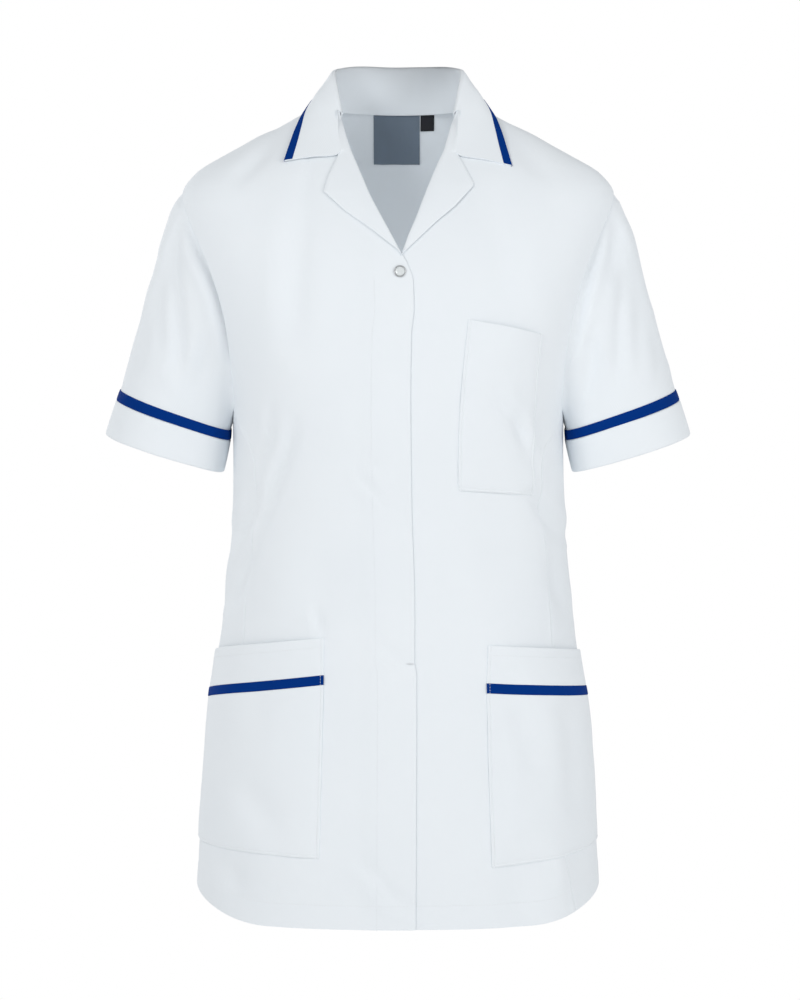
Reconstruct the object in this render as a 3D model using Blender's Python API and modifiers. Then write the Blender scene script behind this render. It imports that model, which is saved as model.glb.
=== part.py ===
# Women's medical tunic, filled out with nobody in it: a hip-length fly-front
# tunic with princess seams, short turned-cuff sleeves, a notched collar, one
# chest pocket and two banded hip pockets, each cloth piece a thin solid of its own.
#
# Frame: +Z up, +X to the wearer's left, -Y to the front. The origin lies midway
# between the shoulders, level with the seam where the back joins the collar.
# Sizes are in millimetres, and MM turns them into metres as a mesh is made.

import math
from collections import namedtuple
from functools import lru_cache

import bpy
import numpy as np
from mathutils import Vector

MM = 0.001
RIGHT, LEFT = -1, 1  # the wearer's sides

# Cloth
WALL = 1.2
HEMMED_WALL = 2.4  # a cuff or pocket band, which is turned double
TAPE_WALL = 0.9
LABEL_WALL = 0.6
SEAM_GAP = 0.3

# Heights of the landmarks
NECK_Z = 4.5
SHOULDER_Z = -75.0  # top of the armhole
PRINCESS_Z = -268.0  # where the princess seam leaves the armhole
UNDERARM_Z = -280.0
HEM_START_Z = -560.0  # the hem's curve shapes the rows below this
HEM_Z = -731.0
HEM_RISE = 26.0  # how much higher the hem is at the side seams
HEM_RISE_SPAN = 0.54  # share of a quarter of the hem that the rise takes

# The front lap: the right front lies over the left one.
LAP_LIFT = WALL + 2.0 * SEAM_GAP
LAP_START_X = 36.0
LAP_FULL_X = 18.0

# Counts that set how fine the meshes are
FRONT_COLUMNS = 12
SIDE_COLUMNS = 3
BACK_COLUMNS = 20
LAPEL_COLUMNS = 5
SLEEVE_COLUMNS = 32
SLEEVE_ROWS = 7
CUFF_ROWS = 2
CHEST_POCKET_COLUMNS = 10
HIP_POCKET_COLUMNS = 14
HIP_BAND_ROWS = 2
HIP_POCKET_ROWS = 5
LABEL_ROWS = 3
LABEL_COLUMNS = 4
COLLAR_STEPS = 3  # sections between two stations of the collar
RING_SAMPLES = 61
ARMHOLE_SAMPLES = 30
UNDERARM_SAMPLES = 6

# Steps over which the slope of the body's surface is read
TURN_STEP = 0.01
HEIGHT_STEP = 1.5

CREASE_ANGLE = 45.0  # in degrees, above which an edge is shaded sharp

Ring = namedtuple("Ring", "z half_width front back squareness")
# Level sections of the body, inside the cloth, from the neck down to the hem.
RINGS = (
    Ring(5.0, 65.5, 14.0, 60.0, 2.10),
    Ring(-3.0, 84.5, 22.0, 64.0, 2.20),
    Ring(-12.0, 101.5, 31.0, 69.0, 2.30),
    Ring(-30.0, 135.0, 46.0, 79.0, 2.35),
    Ring(-44.0, 161.5, 57.0, 86.0, 2.40),
    Ring(-58.0, 184.0, 67.0, 92.0, 2.45),
    Ring(-75.0, 196.5, 78.0, 98.0, 2.50),
    Ring(-86.0, 198.2, 84.5, 101.0, 2.50),
    Ring(-98.0, 196.0, 91.0, 104.0, 2.50),
    Ring(-122.0, 190.0, 102.0, 108.0, 2.50),
    Ring(-151.0, 182.0, 112.0, 111.0, 2.50),
    Ring(-194.0, 169.0, 121.0, 112.5, 2.50),
    Ring(-248.0, 155.0, 126.0, 110.0, 2.45),
    Ring(-280.0, 150.4, 126.0, 107.0, 2.40),
    Ring(-330.0, 149.9, 122.0, 100.0, 2.35),
    Ring(-380.0, 150.6, 118.0, 95.0, 2.30),
    Ring(-410.0, 152.6, 117.5, 95.0, 2.30),
    Ring(-450.0, 157.4, 119.0, 99.0, 2.30),
    Ring(-500.0, 164.8, 122.5, 105.0, 2.35),
    Ring(-541.0, 171.0, 125.5, 111.0, 2.40),
    Ring(-596.0, 176.0, 128.0, 116.0, 2.40),
    Ring(-651.0, 180.4, 130.0, 120.0, 2.40),
    Ring(-731.0, 184.8, 132.0, 123.0, 2.40),
)

Edge = namedtuple("Edge", "z x")
# Free edge of each front, as its reach from the centre towards its own side:
# neck seam, roll line, foot of the V, then the edge of the fly.
RIGHT_FRONT_EDGE = (
    Edge(3.0, 64.0),
    Edge(-3.0, 58.5),
    Edge(-9.0, 49.0),
    Edge(-31.0, 40.0),
    Edge(-43.0, 34.0),
    Edge(-70.0, 22.2),
    Edge(-104.0, 8.8),
    Edge(-137.0, -2.6),
    Edge(-146.0, -7.7),
    Edge(-162.0, -13.2),
    Edge(-186.0, -13.9),
    Edge(-208.0, -11.7),
    Edge(-262.0, -10.9),
    Edge(-351.0, -11.7),
    Edge(-450.0, -14.4),
    Edge(-498.0, -14.4),
    Edge(-506.0, -16.2),
    Edge(-731.0, -15.5),
)
LEFT_FRONT_EDGE = (
    Edge(3.0, 64.0),
    Edge(-3.0, 59.5),
    Edge(-9.0, 51.0),
    Edge(-31.0, 42.0),
    Edge(-43.0, 37.0),
    Edge(-70.0, 26.0),
    Edge(-104.0, 12.6),
    Edge(-137.0, 3.6),
    Edge(-148.0, -5.0),
    Edge(-162.0, -12.0),
    Edge(-731.0, -12.0),
)

# The armhole's front edge by its reach to the side, and its back edge by its
# distance behind the side seam.
ARMHOLE_FRONT = (
    Edge(-75.0, 196.5),
    Edge(-79.0, 196.2),
    Edge(-86.0, 194.2),
    Edge(-98.0, 189.8),
    Edge(-122.0, 179.5),
    Edge(-151.0, 167.5),
    Edge(-172.0, 160.8),
    Edge(-194.0, 155.4),
    Edge(-221.0, 151.2),
    Edge(-248.0, 148.6),
    Edge(-268.0, 147.4),
)
Depth = namedtuple("Depth", "z y")
ARMHOLE_BACK = (
    Depth(-75.0, 0.0),
    Depth(-79.0, 13.0),
    Depth(-86.0, 23.5),
    Depth(-98.0, 33.0),
    Depth(-122.0, 43.0),
    Depth(-151.0, 49.0),
    Depth(-194.0, 51.0),
    Depth(-221.0, 47.0),
    Depth(-248.0, 37.0),
    Depth(-268.0, 22.0),
    Depth(-280.0, 0.0),
)
PRINCESS_SEAM = (
    Edge(-268.0, 147.4),
    Edge(-282.0, 145.0),
    Edge(-295.0, 137.4),
    Edge(-308.0, 130.8),
    Edge(-325.0, 127.2),
    Edge(-359.0, 127.0),
    Edge(-390.0, 131.0),
    Edge(-414.0, 134.0),
    Edge(-450.0, 135.8),
    Edge(-487.0, 137.6),
    Edge(-669.0, 148.0),
    Edge(-731.0, 158.0),
)

# Heights of the rows of each panel
NECK_ROWS = (3.0, -3.0, -9.0, -19.0, -31.0, -43.0, -57.0, -75.0, -86.0, -98.0)
CHEST_ROWS = (-110.0, -122.0, -137.0, -148.0, -162.0, -180.0, -200.0, -221.0, -248.0, -268.0)
WAIST_ROWS = (-282.0, -295.0, -308.0, -325.0, -345.0, -366.0, -388.0, -412.0, -440.0, -470.0)
HIP_ROWS = (-500.0, -530.0, -560.0, -595.0, -630.0, -665.0, -700.0, -731.0)

# Outer edge of each lapel, as its reach from the centre: gorge seam to the
# notch, up-slanting edge to the tip, then down to the foot of the V.
RIGHT_LAPEL_EDGE = (
    Edge(-13.0, 48.9),
    Edge(-31.0, 50.4),
    Edge(-46.0, 51.0),
    Edge(-68.0, 61.7),
    Edge(-81.5, 66.0),
    Edge(-98.6, 48.0),
    Edge(-111.4, 30.5),
    Edge(-122.4, 16.8),
    Edge(-133.0, 3.2),
)
LEFT_LAPEL_EDGE = (
    Edge(-13.0, 50.0),
    Edge(-31.0, 50.8),
    Edge(-46.0, 51.0),
    Edge(-60.0, 60.6),
    Edge(-77.0, 66.8),
    Edge(-95.0, 50.6),
    Edge(-108.7, 34.6),
    Edge(-122.3, 20.3),
    Edge(-133.0, 9.5),
)
LAPEL_PUFF = 2.2  # how far a lapel bows off the front
LAPEL_REST = 0.5  # and how far off it its edges lie
BOW_POWER = 0.75  # below 1, a bowed patch is flatter in its middle

Station = namedtuple("Station", "seam fold middle edge")
# The collar from its centre back to its front end: each station gives points
# (x, y, z) on the neck seam, the fold, the middle of the fall and its edge.
COLLAR = (
    Station((0.0, 59.0, 5.6), (0.0, 49.0, 44.4), (0.0, 63.0, 21.0), (0.0, 73.0, -9.0)),
    Station((37.0, 49.0, 5.6), (32.5, 39.5, 44.0), (43.0, 54.5, 21.0), (54.0, 61.0, -7.0)),
    Station((59.0, 26.0, 5.6), (53.5, 19.0, 40.5), (66.5, 28.0, 22.0), (76.5, 34.0, 1.0)),
    Station((65.0, 3.0, 5.0), (59.5, -3.0, 34.2), (70.0, 0.0, 21.5), (80.0, 2.0, 5.2)),
    Station((58.0, -16.0, 0.2), (56.3, -21.0, 15.0), (73.0, -23.0, 3.5), (90.5, -25.0, -13.0)),
)
COLLAR_END = {  # the last station, which differs a little between the sides
    RIGHT: Station((51.6, -28.0, -6.6), (52.6, -31.5, -4.0), (52.8, -60.0, -44.6), (101.8, -59.5, -51.2)),
    LEFT: Station((51.6, -28.0, -6.6), (52.6, -31.5, -4.0), (52.8, -60.0, -44.6), (101.8, -62.5, -55.8)),
}
COLLAR_WALL = 1.5
COLLAR_FOLD = 2.2  # half the width of the fold
COLLAR_FOLD_DROP = 1.6
COLLAR_TRIM_WIDTH = 5.2

CuffRing = namedtuple("CuffRing", "x y z half_width half_depth tilt")
TRIM_TOP = CuffRing(205.2, 12.0, -272.4, 52.2, 55.6, 19.05)
TRIM_FOOT = CuffRing(207.2, 12.8, -281.2, 53.4, 56.0, 18.3)
CUFF_FOOT = CuffRing(215.6, 16.0, -312.0, 54.6, 56.5, 16.7)
CUFF_LEAN = 0.08  # how much lower a cuff is in front, for each unit of depth
SLEEVE_SPREAD = 0.55  # how squarely the sleeve head leaves the armhole
SLEEVE_PULL = 0.45  # and how far it holds that direction
SLEEVE_END = Vector((0.29, 0.10, -0.95))  # its direction at the trim, for the left arm
SLEEVE_CLEAR_OUT = 1.2  # the sleeve's first row clears the armhole outwards
SLEEVE_CLEAR_IN = 0.9  # and towards the armhole's middle

Patch = namedtuple("Patch", "inner_x inner_z outer_x outer_z")
# Level lines of the pockets: where each crosses the pocket's inner and outer edge.
CHEST_POCKET = (
    Patch(61.6, -196.0, 126.6, -208.0),
    Patch(57.5, -232.0, 123.8, -240.0),
    Patch(54.4, -270.0, 121.2, -277.0),
    Patch(52.8, -310.0, 119.8, -316.0),
    Patch(52.8, -346.0, 120.0, -351.0),
)
PocketLine = namedtuple("PocketLine", "inner_x inner_z outer_z lift")
# Level lines of the hip pockets, which run from an inner edge to the side seam.
HIP_BANDS = {
    RIGHT: (PocketLine(64.6, -475.6, -495.0, 3.0), PocketLine(64.8, -508.3, -527.7, 1.6)),
    LEFT: (PocketLine(79.0, -482.8, -495.0, 3.0), PocketLine(77.4, -515.7, -527.7, 1.6)),
}
HIP_TRIMS = {
    RIGHT: (PocketLine(64.8, -508.6, -528.0, 1.6), PocketLine(64.9, -516.8, -536.0, 1.4)),
    LEFT: (PocketLine(77.4, -516.0, -528.0, 1.6), PocketLine(77.6, -524.6, -536.2, 1.4)),
}
HIP_POCKETS = {
    RIGHT: (PocketLine(64.9, -517.1, -536.3, 1.4), PocketLine(68.7, -669.6, -664.0, 0.0)),
    LEFT: (PocketLine(77.6, -524.9, -536.5, 1.4), PocketLine(82.4, -678.3, -664.6, 0.0)),
}
HIP_POCKET_OUTER_TURN = 0.985  # just in front of the side seam
POCKET_LIFT = 0.5  # how far a pocket lies off the front beyond its seam's gap
BAND_WALL = 1.8

Fold = namedtuple("Fold", "side x z end_x end_z width depth")
# Soft troughs and ridges, from one end to the other, seen from the front or
# the back. A positive depth is a trough.
FRONT_FOLDS = (
    Fold(RIGHT, 98.0, -322.0, 124.0, -384.0, 16.0, 2.4),
    Fold(RIGHT, 130.0, -404.0, 146.0, -455.0, 12.0, 2.2),
    Fold(LEFT, 106.0, -290.0, 119.0, -326.0, 13.0, 1.8),
    Fold(LEFT, 122.0, -352.0, 146.0, -394.0, 13.0, 2.4),
    Fold(RIGHT, 82.0, -50.0, 90.0, -215.0, 17.0, 1.8),
    Fold(LEFT, 96.0, -64.0, 104.0, -180.0, 17.0, 1.6),
    Fold(RIGHT, 34.0, -672.0, 14.0, -722.0, 15.0, -2.0),
    Fold(LEFT, 96.0, -650.0, 92.0, -731.0, 24.0, -2.6),
    Fold(RIGHT, 104.0, -660.0, 112.0, -731.0, 24.0, 2.4),
)
BACK_FOLDS = (
    Fold(RIGHT, 60.0, -300.0, 110.0, -395.0, 16.0, 2.8),
    Fold(LEFT, 52.0, -315.0, 104.0, -405.0, 16.0, 2.8),
    Fold(LEFT, 122.0, -150.0, 112.0, -262.0, 15.0, 2.4),
    Fold(RIGHT, 126.0, -160.0, 116.0, -270.0, 15.0, 2.2),
    Fold(LEFT, 58.0, -600.0, 66.0, -731.0, 26.0, -3.4),
    Fold(RIGHT, 48.0, -580.0, 40.0, -731.0, 26.0, 3.0),
    Fold(RIGHT, 118.0, -610.0, 124.0, -731.0, 24.0, -3.0),
)

# Press stud at the foot of the V
STUD_X, STUD_Z = 1.8, -154.3
STUD_RADIUS = 5.6
STUD_RIM = 0.85
STUD_CAP_HEIGHT = 1.1

# Woven label and size tab, inside the back neck
LABEL = Patch(-23.0, 2.5, 20.4, -41.0)
SIZE_TAB = Patch(21.2, 2.5, 34.0, -11.0)

Finish = namedtuple("Finish", "colour roughness metallic")
FINISHES = {
    "white_polycotton": Finish((0.80, 0.83, 0.86), 0.75, 0.0),
    "royal_blue_tape": Finish((0.010, 0.045, 0.22), 0.70, 0.0),
    "pearl": Finish((0.72, 0.74, 0.76), 0.25, 0.0),
    "nickel": Finish((0.45, 0.46, 0.48), 0.30, 1.0),
    "woven_label": Finish((0.09, 0.13, 0.17), 0.80, 0.0),
    "black_tab": Finish((0.016, 0.017, 0.025), 0.80, 0.0),
}


def clear_scene():
    for obj in list(bpy.data.objects):
        bpy.data.objects.remove(obj, do_unlink=True)


def blend(start, end, share):
    return start + (end - start) * share


def ease(share):
    share = min(max(share, 0.0), 1.0)
    return share * share * (3.0 - 2.0 * share)


def curved(start, end, first, last, t):
    """A point between two others, on the curve that leaves along first and arrives along last."""
    straight = (1.0 + 2.0 * t) * (1.0 - t) ** 2 * start + t * t * (3.0 - 2.0 * t) * end
    return straight + t * (1.0 - t) * ((1.0 - t) * first - t * last)


@lru_cache(maxsize=None)
def knots(table, name):
    ordered = sorted(table, key=lambda row: row.z)
    return np.array([row.z for row in ordered]), np.array([getattr(row, name) for row in ordered])


@lru_cache(maxsize=None)
def reading(table, name, z):
    """A column's value at a height, on a smooth curve that never overshoots its rows."""
    heights, values = knots(table, name)
    z = min(max(z, heights[0]), heights[-1])
    low = min(int(np.searchsorted(heights, z, side="right")) - 1, len(heights) - 2)
    steps = np.diff(values) / np.diff(heights)

    def slope(knot):
        if knot == 0:
            return steps[0]
        if knot == len(steps):
            return steps[-1]
        before, after = steps[knot - 1], steps[knot]
        return 2.0 * before * after / (before + after) if before * after > 0.0 else 0.0

    span = heights[low + 1] - heights[low]
    first, last = span * slope(low), span * slope(low + 1)
    return curved(values[low], values[low + 1], first, last, (z - heights[low]) / span)


@lru_cache(maxsize=None)
def quarter(z, back):
    """A quarter of the body's ring, side to centre: x, distance from the side seam, share, length."""
    half_width = reading(RINGS, "half_width", z)
    depth = reading(RINGS, "back" if back else "front", z)
    power = reading(RINGS, "squareness", z)
    angle = np.linspace(0.0, math.pi / 2.0, RING_SAMPLES)
    reach = ((np.cos(angle) / half_width) ** power + (np.sin(angle) / depth) ** power) ** (-1.0 / power)
    x, y = reach * np.cos(angle), reach * np.sin(angle)
    x[-1], y[0] = 0.0, 0.0
    along = np.concatenate([[0.0], np.cumsum(np.hypot(np.diff(x), np.diff(y)))])
    return x, y, along / along[-1], along[-1]


def body(turn, z, side):
    """A point of the body's surface. Turn runs from 0 at the centre front, past 1 at the side, to 2 at the back."""
    if turn < 0.0:
        return body(-turn, z, -side)
    if turn > 2.0:
        return body(4.0 - turn, z, -side)
    back = turn > 1.0
    x, y, along, _ = quarter(z, back)
    share = turn - 1.0 if back else 1.0 - turn
    depth = np.interp(share, along, y)
    return np.array((side * np.interp(share, along, x), depth if back else -depth, z))


def normal(turn, z, side):
    across = body(turn + TURN_STEP, z, side) - body(turn - TURN_STEP, z, side)
    down = body(turn, z - HEIGHT_STEP, side) - body(turn, z + HEIGHT_STEP, side)
    away = np.cross(across, down)
    away /= np.linalg.norm(away)
    here = body(turn, z, side)
    return away if away[0] * here[0] + away[1] * here[1] > 0.0 else -away


def turn_at_x(z, reach, back=False):
    """Where the ring comes that far to its own side. A negative reach lies past the centre."""
    x, _, along, _ = quarter(z, back)
    share = np.interp(abs(reach), x[::-1], along[::-1])
    turn = 1.0 + share if back else 1.0 - share
    if reach >= 0.0:
        return turn
    return 4.0 - turn if back else -turn


def turn_at_y(z, distance):
    _, y, along, _ = quarter(z, True)
    return 1.0 + np.interp(distance, y, along)


def seam_ease(z, back=False):
    """Half a seam's gap, as a share of a quarter ring."""
    return SEAM_GAP / 2.0 / quarter(z, back)[3]


def fold_depth(point, back):
    depth = 0.0
    for fold in BACK_FOLDS if back else FRONT_FOLDS:
        start = np.array((fold.side * fold.x, fold.z))
        run = np.array((fold.side * fold.end_x, fold.end_z)) - start
        here = np.array((point[0], point[2])) - start
        share = min(max(here @ run / (run @ run), 0.0), 1.0)
        away = np.linalg.norm(here - share * run)
        depth += fold.depth * math.exp(-((away / fold.width) ** 2))
    return depth


def lap_lift(point, side):
    """How far the right front stands out near the centre, to lie over the left one."""
    if side == LEFT:
        return 0.0
    return LAP_LIFT * ease((LAP_START_X + point[0]) / (LAP_START_X - LAP_FULL_X))


def cloth_point(turn, z, side, lift=0.0, lapped=False):
    point = body(turn, z, side)
    back = 1.0 < turn < 3.0
    out = lift - fold_depth(point, back)
    if lapped:
        out += lap_lift(point, side)
    return point + normal(turn, z, side) * out


def hem_height(turn, z):
    """The height of a row at one place, with the rows near the hem bent to its curve."""
    if z >= HEM_START_Z:
        return z
    away = min(abs(turn - 1.0), abs(turn - 3.0))
    rise = HEM_RISE * (1.0 - ease(away / HEM_RISE_SPAN))
    return z + rise * (HEM_START_Z - z) / (HEM_START_Z - HEM_Z)


def front_edge(side):
    return RIGHT_FRONT_EDGE if side == RIGHT else LEFT_FRONT_EDGE


def front_outer_turn(z):
    """The outer edge of a front: shoulder seam, armhole, then princess seam."""
    if z >= SHOULDER_Z:
        return 1.0 - seam_ease(z)
    table = ARMHOLE_FRONT if z > PRINCESS_Z else PRINCESS_SEAM
    return turn_at_x(z, reading(table, "x", z)) - seam_ease(z)


def back_outer_turn(z):
    if SHOULDER_Z > z > UNDERARM_Z:
        return turn_at_y(z, reading(ARMHOLE_BACK, "y", z)) + seam_ease(z, True)
    return 1.0 + seam_ease(z, True)


def front_rows(side):
    rows = []
    for z in NECK_ROWS + CHEST_ROWS + WAIST_ROWS + HIP_ROWS:
        inner = turn_at_x(z, reading(front_edge(side), "x", z))
        outer = front_outer_turn(z)
        turns = [blend(inner, outer, step / FRONT_COLUMNS) for step in range(FRONT_COLUMNS + 1)]
        rows.append([cloth_point(turn, hem_height(turn, z), side, lapped=True) for turn in turns])
    return rows


def side_front_rows(side):
    """The narrow panel between princess seam and side seam, whose top is the foot of the armhole."""
    shares = [step / SIDE_COLUMNS for step in range(SIDE_COLUMNS + 1)]
    top_turn = turn_at_x(PRINCESS_Z, ARMHOLE_FRONT[-1].x) + seam_ease(PRINCESS_Z)
    top_end = 1.0 - seam_ease(UNDERARM_Z)
    rows = [
        [
            cloth_point(blend(top_turn, top_end, share), blend(PRINCESS_Z, UNDERARM_Z, share), side)
            for share in shares
        ]
    ]
    for z in WAIST_ROWS + HIP_ROWS:
        inner = turn_at_x(z, reading(PRINCESS_SEAM, "x", z)) + seam_ease(z)
        outer = 1.0 - seam_ease(z)
        turns = [blend(inner, outer, share) for share in shares]
        rows.append([cloth_point(turn, hem_height(turn, z), side) for turn in turns])
    return rows


def back_rows():
    rows = []
    for z in (NECK_Z,) + NECK_ROWS[1:] + CHEST_ROWS + (UNDERARM_Z,) + WAIST_ROWS[1:] + HIP_ROWS:
        outer = back_outer_turn(z)
        turns = [blend(outer, 4.0 - outer, step / BACK_COLUMNS) for step in range(BACK_COLUMNS + 1)]
        rows.append([cloth_point(turn, hem_height(turn, z), LEFT) for turn in turns])
    return rows


def lapel_rows(side):
    edge = RIGHT_LAPEL_EDGE if side == RIGHT else LEFT_LAPEL_EDGE
    rows = []
    for row in edge:
        inner = reading(front_edge(side), "x", row.z) + SEAM_GAP
        points = []
        for step in range(LAPEL_COLUMNS + 1):
            share = step / LAPEL_COLUMNS
            turn = turn_at_x(row.z, blend(inner, row.x, share))
            puff = LAPEL_PUFF * math.sin(math.pi * share) ** BOW_POWER
            lift = WALL + SEAM_GAP + LAPEL_REST + puff
            points.append(cloth_point(turn, row.z, side, lift, lapped=True))
        rows.append(points)
    return rows


def patch_row(inner, outer, inner_z, outer_z, side, columns, bow=0.0):
    """One level line of a patch laid on a front, bowed off it between its ends."""
    points = []
    for step in range(columns + 1):
        share = step / columns
        lift = WALL + SEAM_GAP + POCKET_LIFT + bow * math.sin(math.pi * share) ** BOW_POWER
        points.append(cloth_point(blend(inner, outer, share), blend(inner_z, outer_z, share), side, lift))
    return points


def chest_pocket_rows():
    rows = []
    for line in CHEST_POCKET:
        inner = turn_at_x(line.inner_z, line.inner_x)
        outer = turn_at_x(line.outer_z, line.outer_x)
        row = patch_row(inner, outer, line.inner_z, line.outer_z, LEFT, CHEST_POCKET_COLUMNS)
        rows.append(row)
    return rows


def hip_rows(lines, side, count):
    """Rows of a hip pocket's piece, between its upper and lower line."""
    rows = []
    for step in range(count + 1):
        line = PocketLine(*(blend(a, b, step / count) for a, b in zip(*lines)))
        inner = turn_at_x(line.inner_z, line.inner_x)
        outer = HIP_POCKET_OUTER_TURN
        row = patch_row(inner, outer, line.inner_z, line.outer_z, side, HIP_POCKET_COLUMNS, line.lift)
        rows.append(row)
    return rows


def label_rows(label, lift):
    """A tab hanging inside the back from the neck seam."""
    shares = [column / LABEL_COLUMNS for column in range(LABEL_COLUMNS + 1)]
    rows = []
    for row in range(LABEL_ROWS + 1):
        z = blend(label.inner_z, label.outer_z, row / LABEL_ROWS)
        reaches = [blend(label.inner_x, label.outer_x, share) for share in shares]
        turns = [turn_at_x(z, reach, back=True) for reach in reaches]
        rows.append([cloth_point(turn, z, LEFT, lift) for turn in turns])
    return rows


def cuff_loop(ring, side, lift=0.0):
    """A ring of the sleeve's end, from its outermost point past the front."""
    tilt = math.radians(ring.tilt)
    outward = np.array((side * math.cos(tilt), 0.0, math.sin(tilt)))
    forward = np.array((0.0, -1.0, -CUFF_LEAN))
    centre = np.array((side * ring.x, ring.y, ring.z))
    angles = [2.0 * math.pi * step / SLEEVE_COLUMNS for step in range(SLEEVE_COLUMNS)]
    return [
        centre
        + outward * (ring.half_width + lift) * math.cos(angle)
        + forward * (ring.half_depth + lift) * math.sin(angle)
        for angle in angles
    ]


def resampled(points, count):
    points = np.array(points)
    along = np.concatenate([[0.0], np.cumsum(np.linalg.norm(np.diff(points, axis=0), axis=1))])
    stops = np.linspace(0.0, along[-1], count + 1)
    return [np.array([np.interp(stop, along, points[:, axis]) for axis in range(3)]) for stop in stops]


def armhole_loop(side):
    """The armhole, from the shoulder down its front to the underarm and up its back."""
    shares = [step / ARMHOLE_SAMPLES for step in range(ARMHOLE_SAMPLES + 1)]
    front = []
    for z in (blend(SHOULDER_Z, PRINCESS_Z, share) for share in shares):
        front.append(body(turn_at_x(z, reading(ARMHOLE_FRONT, "x", z)), z, side))
    last_turn = turn_at_x(PRINCESS_Z, ARMHOLE_FRONT[-1].x)
    for step in range(1, UNDERARM_SAMPLES + 1):
        share = step / UNDERARM_SAMPLES
        front.append(body(blend(last_turn, 1.0, share), blend(PRINCESS_Z, UNDERARM_Z, share), side))
    back = []
    for z in (blend(UNDERARM_Z, SHOULDER_Z, share) for share in shares):
        back.append(body(turn_at_y(z, reading(ARMHOLE_BACK, "y", z)), z, side))
    half = SLEEVE_COLUMNS // 2
    return resampled(front, half)[:-1] + resampled(back, half)[:-1]


def sleeve_rows(side):
    """Rows from just outside the armhole down to the foot of the trim, swelling at the sleeve head."""
    loop = armhole_loop(side)
    centre = sum(loop) / len(loop)
    ends = cuff_loop(TRIM_TOP, side)
    out = np.array((side, 0.0, 0.0))
    last = np.array((side * SLEEVE_END.x, SLEEVE_END.y, SLEEVE_END.z))
    rows = []
    for row in range(SLEEVE_ROWS + 1):
        points = []
        for start, end in zip(loop, ends):
            inward = centre - start
            start = start + out * SLEEVE_CLEAR_OUT + inward / np.linalg.norm(inward) * SLEEVE_CLEAR_IN
            reach = np.linalg.norm(end - start)
            first = (end - start) * (1.0 - SLEEVE_SPREAD) + out * reach * SLEEVE_SPREAD
            points.append(curved(start, end, first * SLEEVE_PULL, last * reach, row / SLEEVE_ROWS))
        rows.append(points)
    rows.append(cuff_loop(TRIM_FOOT, side))
    return rows


def between_rings(first, second, share):
    return CuffRing(*(blend(a, b, share) for a, b in zip(first, second)))


def curve_through(values, t):
    """A smooth curve through evenly spaced points."""
    low = min(int(t), len(values) - 2)
    t -= low
    before = values[max(low - 1, 0)]
    start, end = values[low], values[low + 1]
    after = values[min(low + 2, len(values) - 1)]
    first = (end - before) / 2.0 if low > 0 else end - start
    last = (after - start) / 2.0 if low + 2 < len(values) else end - start
    return curved(start, end, first, last, t)


def collar_section(t, side):
    """One section of the collar: up the stand, over the fold and down the fall."""
    seam, fold, middle, edge = (
        curve_through([np.array(getattr(station, name)) for station in COLLAR + (COLLAR_END[side],)], t)
        for name in Station._fields
    )
    out = edge - seam
    out[2] = 0.0
    out /= np.linalg.norm(out)
    drop = np.array((0.0, 0.0, -COLLAR_FOLD_DROP))
    inner = fold - out * COLLAR_FOLD + drop
    outer = fold + out * COLLAR_FOLD + drop
    run = edge - middle
    trim_line = edge - run / np.linalg.norm(run) * COLLAR_TRIM_WIDTH
    points = [
        seam,
        blend(seam, inner, 0.5),
        inner,
        fold,
        outer,
        blend(outer, middle, 0.5),
        middle,
        blend(middle, trim_line, 0.5),
        trim_line,
        edge,
    ]
    return [point * np.array((side, 1.0, 1.0)) for point in points]


def collar_rows():
    steps = len(COLLAR) * COLLAR_STEPS
    stops = [step / COLLAR_STEPS for step in range(steps + 1)]
    right = [collar_section(t, RIGHT) for t in reversed(stops)]
    return right + [collar_section(t, LEFT) for t in stops[1:]]


def grid_normals(rows):
    """A unit normal for each point of a grid of points."""
    grid = np.array(rows)
    across, down = np.gradient(grid, axis=1), np.gradient(grid, axis=0)
    away = np.cross(across, down)
    return away / np.linalg.norm(away, axis=2, keepdims=True)


def material(name):
    """One Principled material for each finish, made the first time it is asked for."""
    found = bpy.data.materials.get(name)
    if found:
        return found
    finish = FINISHES[name]
    made = bpy.data.materials.new(name)
    made.use_nodes = True
    shader = made.node_tree.nodes["Principled BSDF"]
    shader.inputs["Base Color"].default_value = (*finish.colour, 1.0)
    shader.inputs["Roughness"].default_value = finish.roughness
    shader.inputs["Metallic"].default_value = finish.metallic
    made.diffuse_color = (*finish.colour, 1.0)
    return made


def cloth(name, rows, wall, finish, closed=False, reverse=False, offset=1.0):
    """A thin solid from a grid of points: an open sheet, or a tube when closed."""
    count = len(rows[0])
    points = [Vector(point) * MM for row in rows for point in row]
    faces = []
    for row in range(len(rows) - 1):
        for column in range(count if closed else count - 1):
            after = (column + 1) % count
            low, high = row * count, (row + 1) * count
            face = (low + column, high + column, high + after, low + after)
            faces.append(face[::-1] if reverse else face)
    mesh = bpy.data.meshes.new(name)
    mesh.from_pydata(points, [], faces)
    mesh.update()
    obj = add_object(name, mesh, finish)
    wall_modifier = obj.modifiers.new("Wall", "SOLIDIFY")
    wall_modifier.thickness = wall * MM
    wall_modifier.offset = offset
    wall_modifier.use_even_offset = False
    return obj


def add_object(name, mesh, finish):
    mesh.materials.append(material(finish))
    mesh.shade_smooth()
    mesh.set_sharp_from_angle(angle=math.radians(CREASE_ANGLE))
    obj = bpy.data.objects.new(name, mesh)
    bpy.data.collections["medical_tunic"].objects.link(obj)
    return obj


def side_name(side):
    return "right" if side == RIGHT else "left"


def build_body():
    cloth("back", back_rows(), WALL, "white_polycotton")
    for side in (RIGHT, LEFT):
        reverse = side == RIGHT
        name = side_name(side)
        cloth(f"front_{name}", front_rows(side), WALL, "white_polycotton", reverse=reverse)
        cloth(f"side_front_{name}", side_front_rows(side), WALL, "white_polycotton", reverse=reverse)
        cloth(f"lapel_{name}", lapel_rows(side), WALL, "white_polycotton", reverse=reverse)


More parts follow.
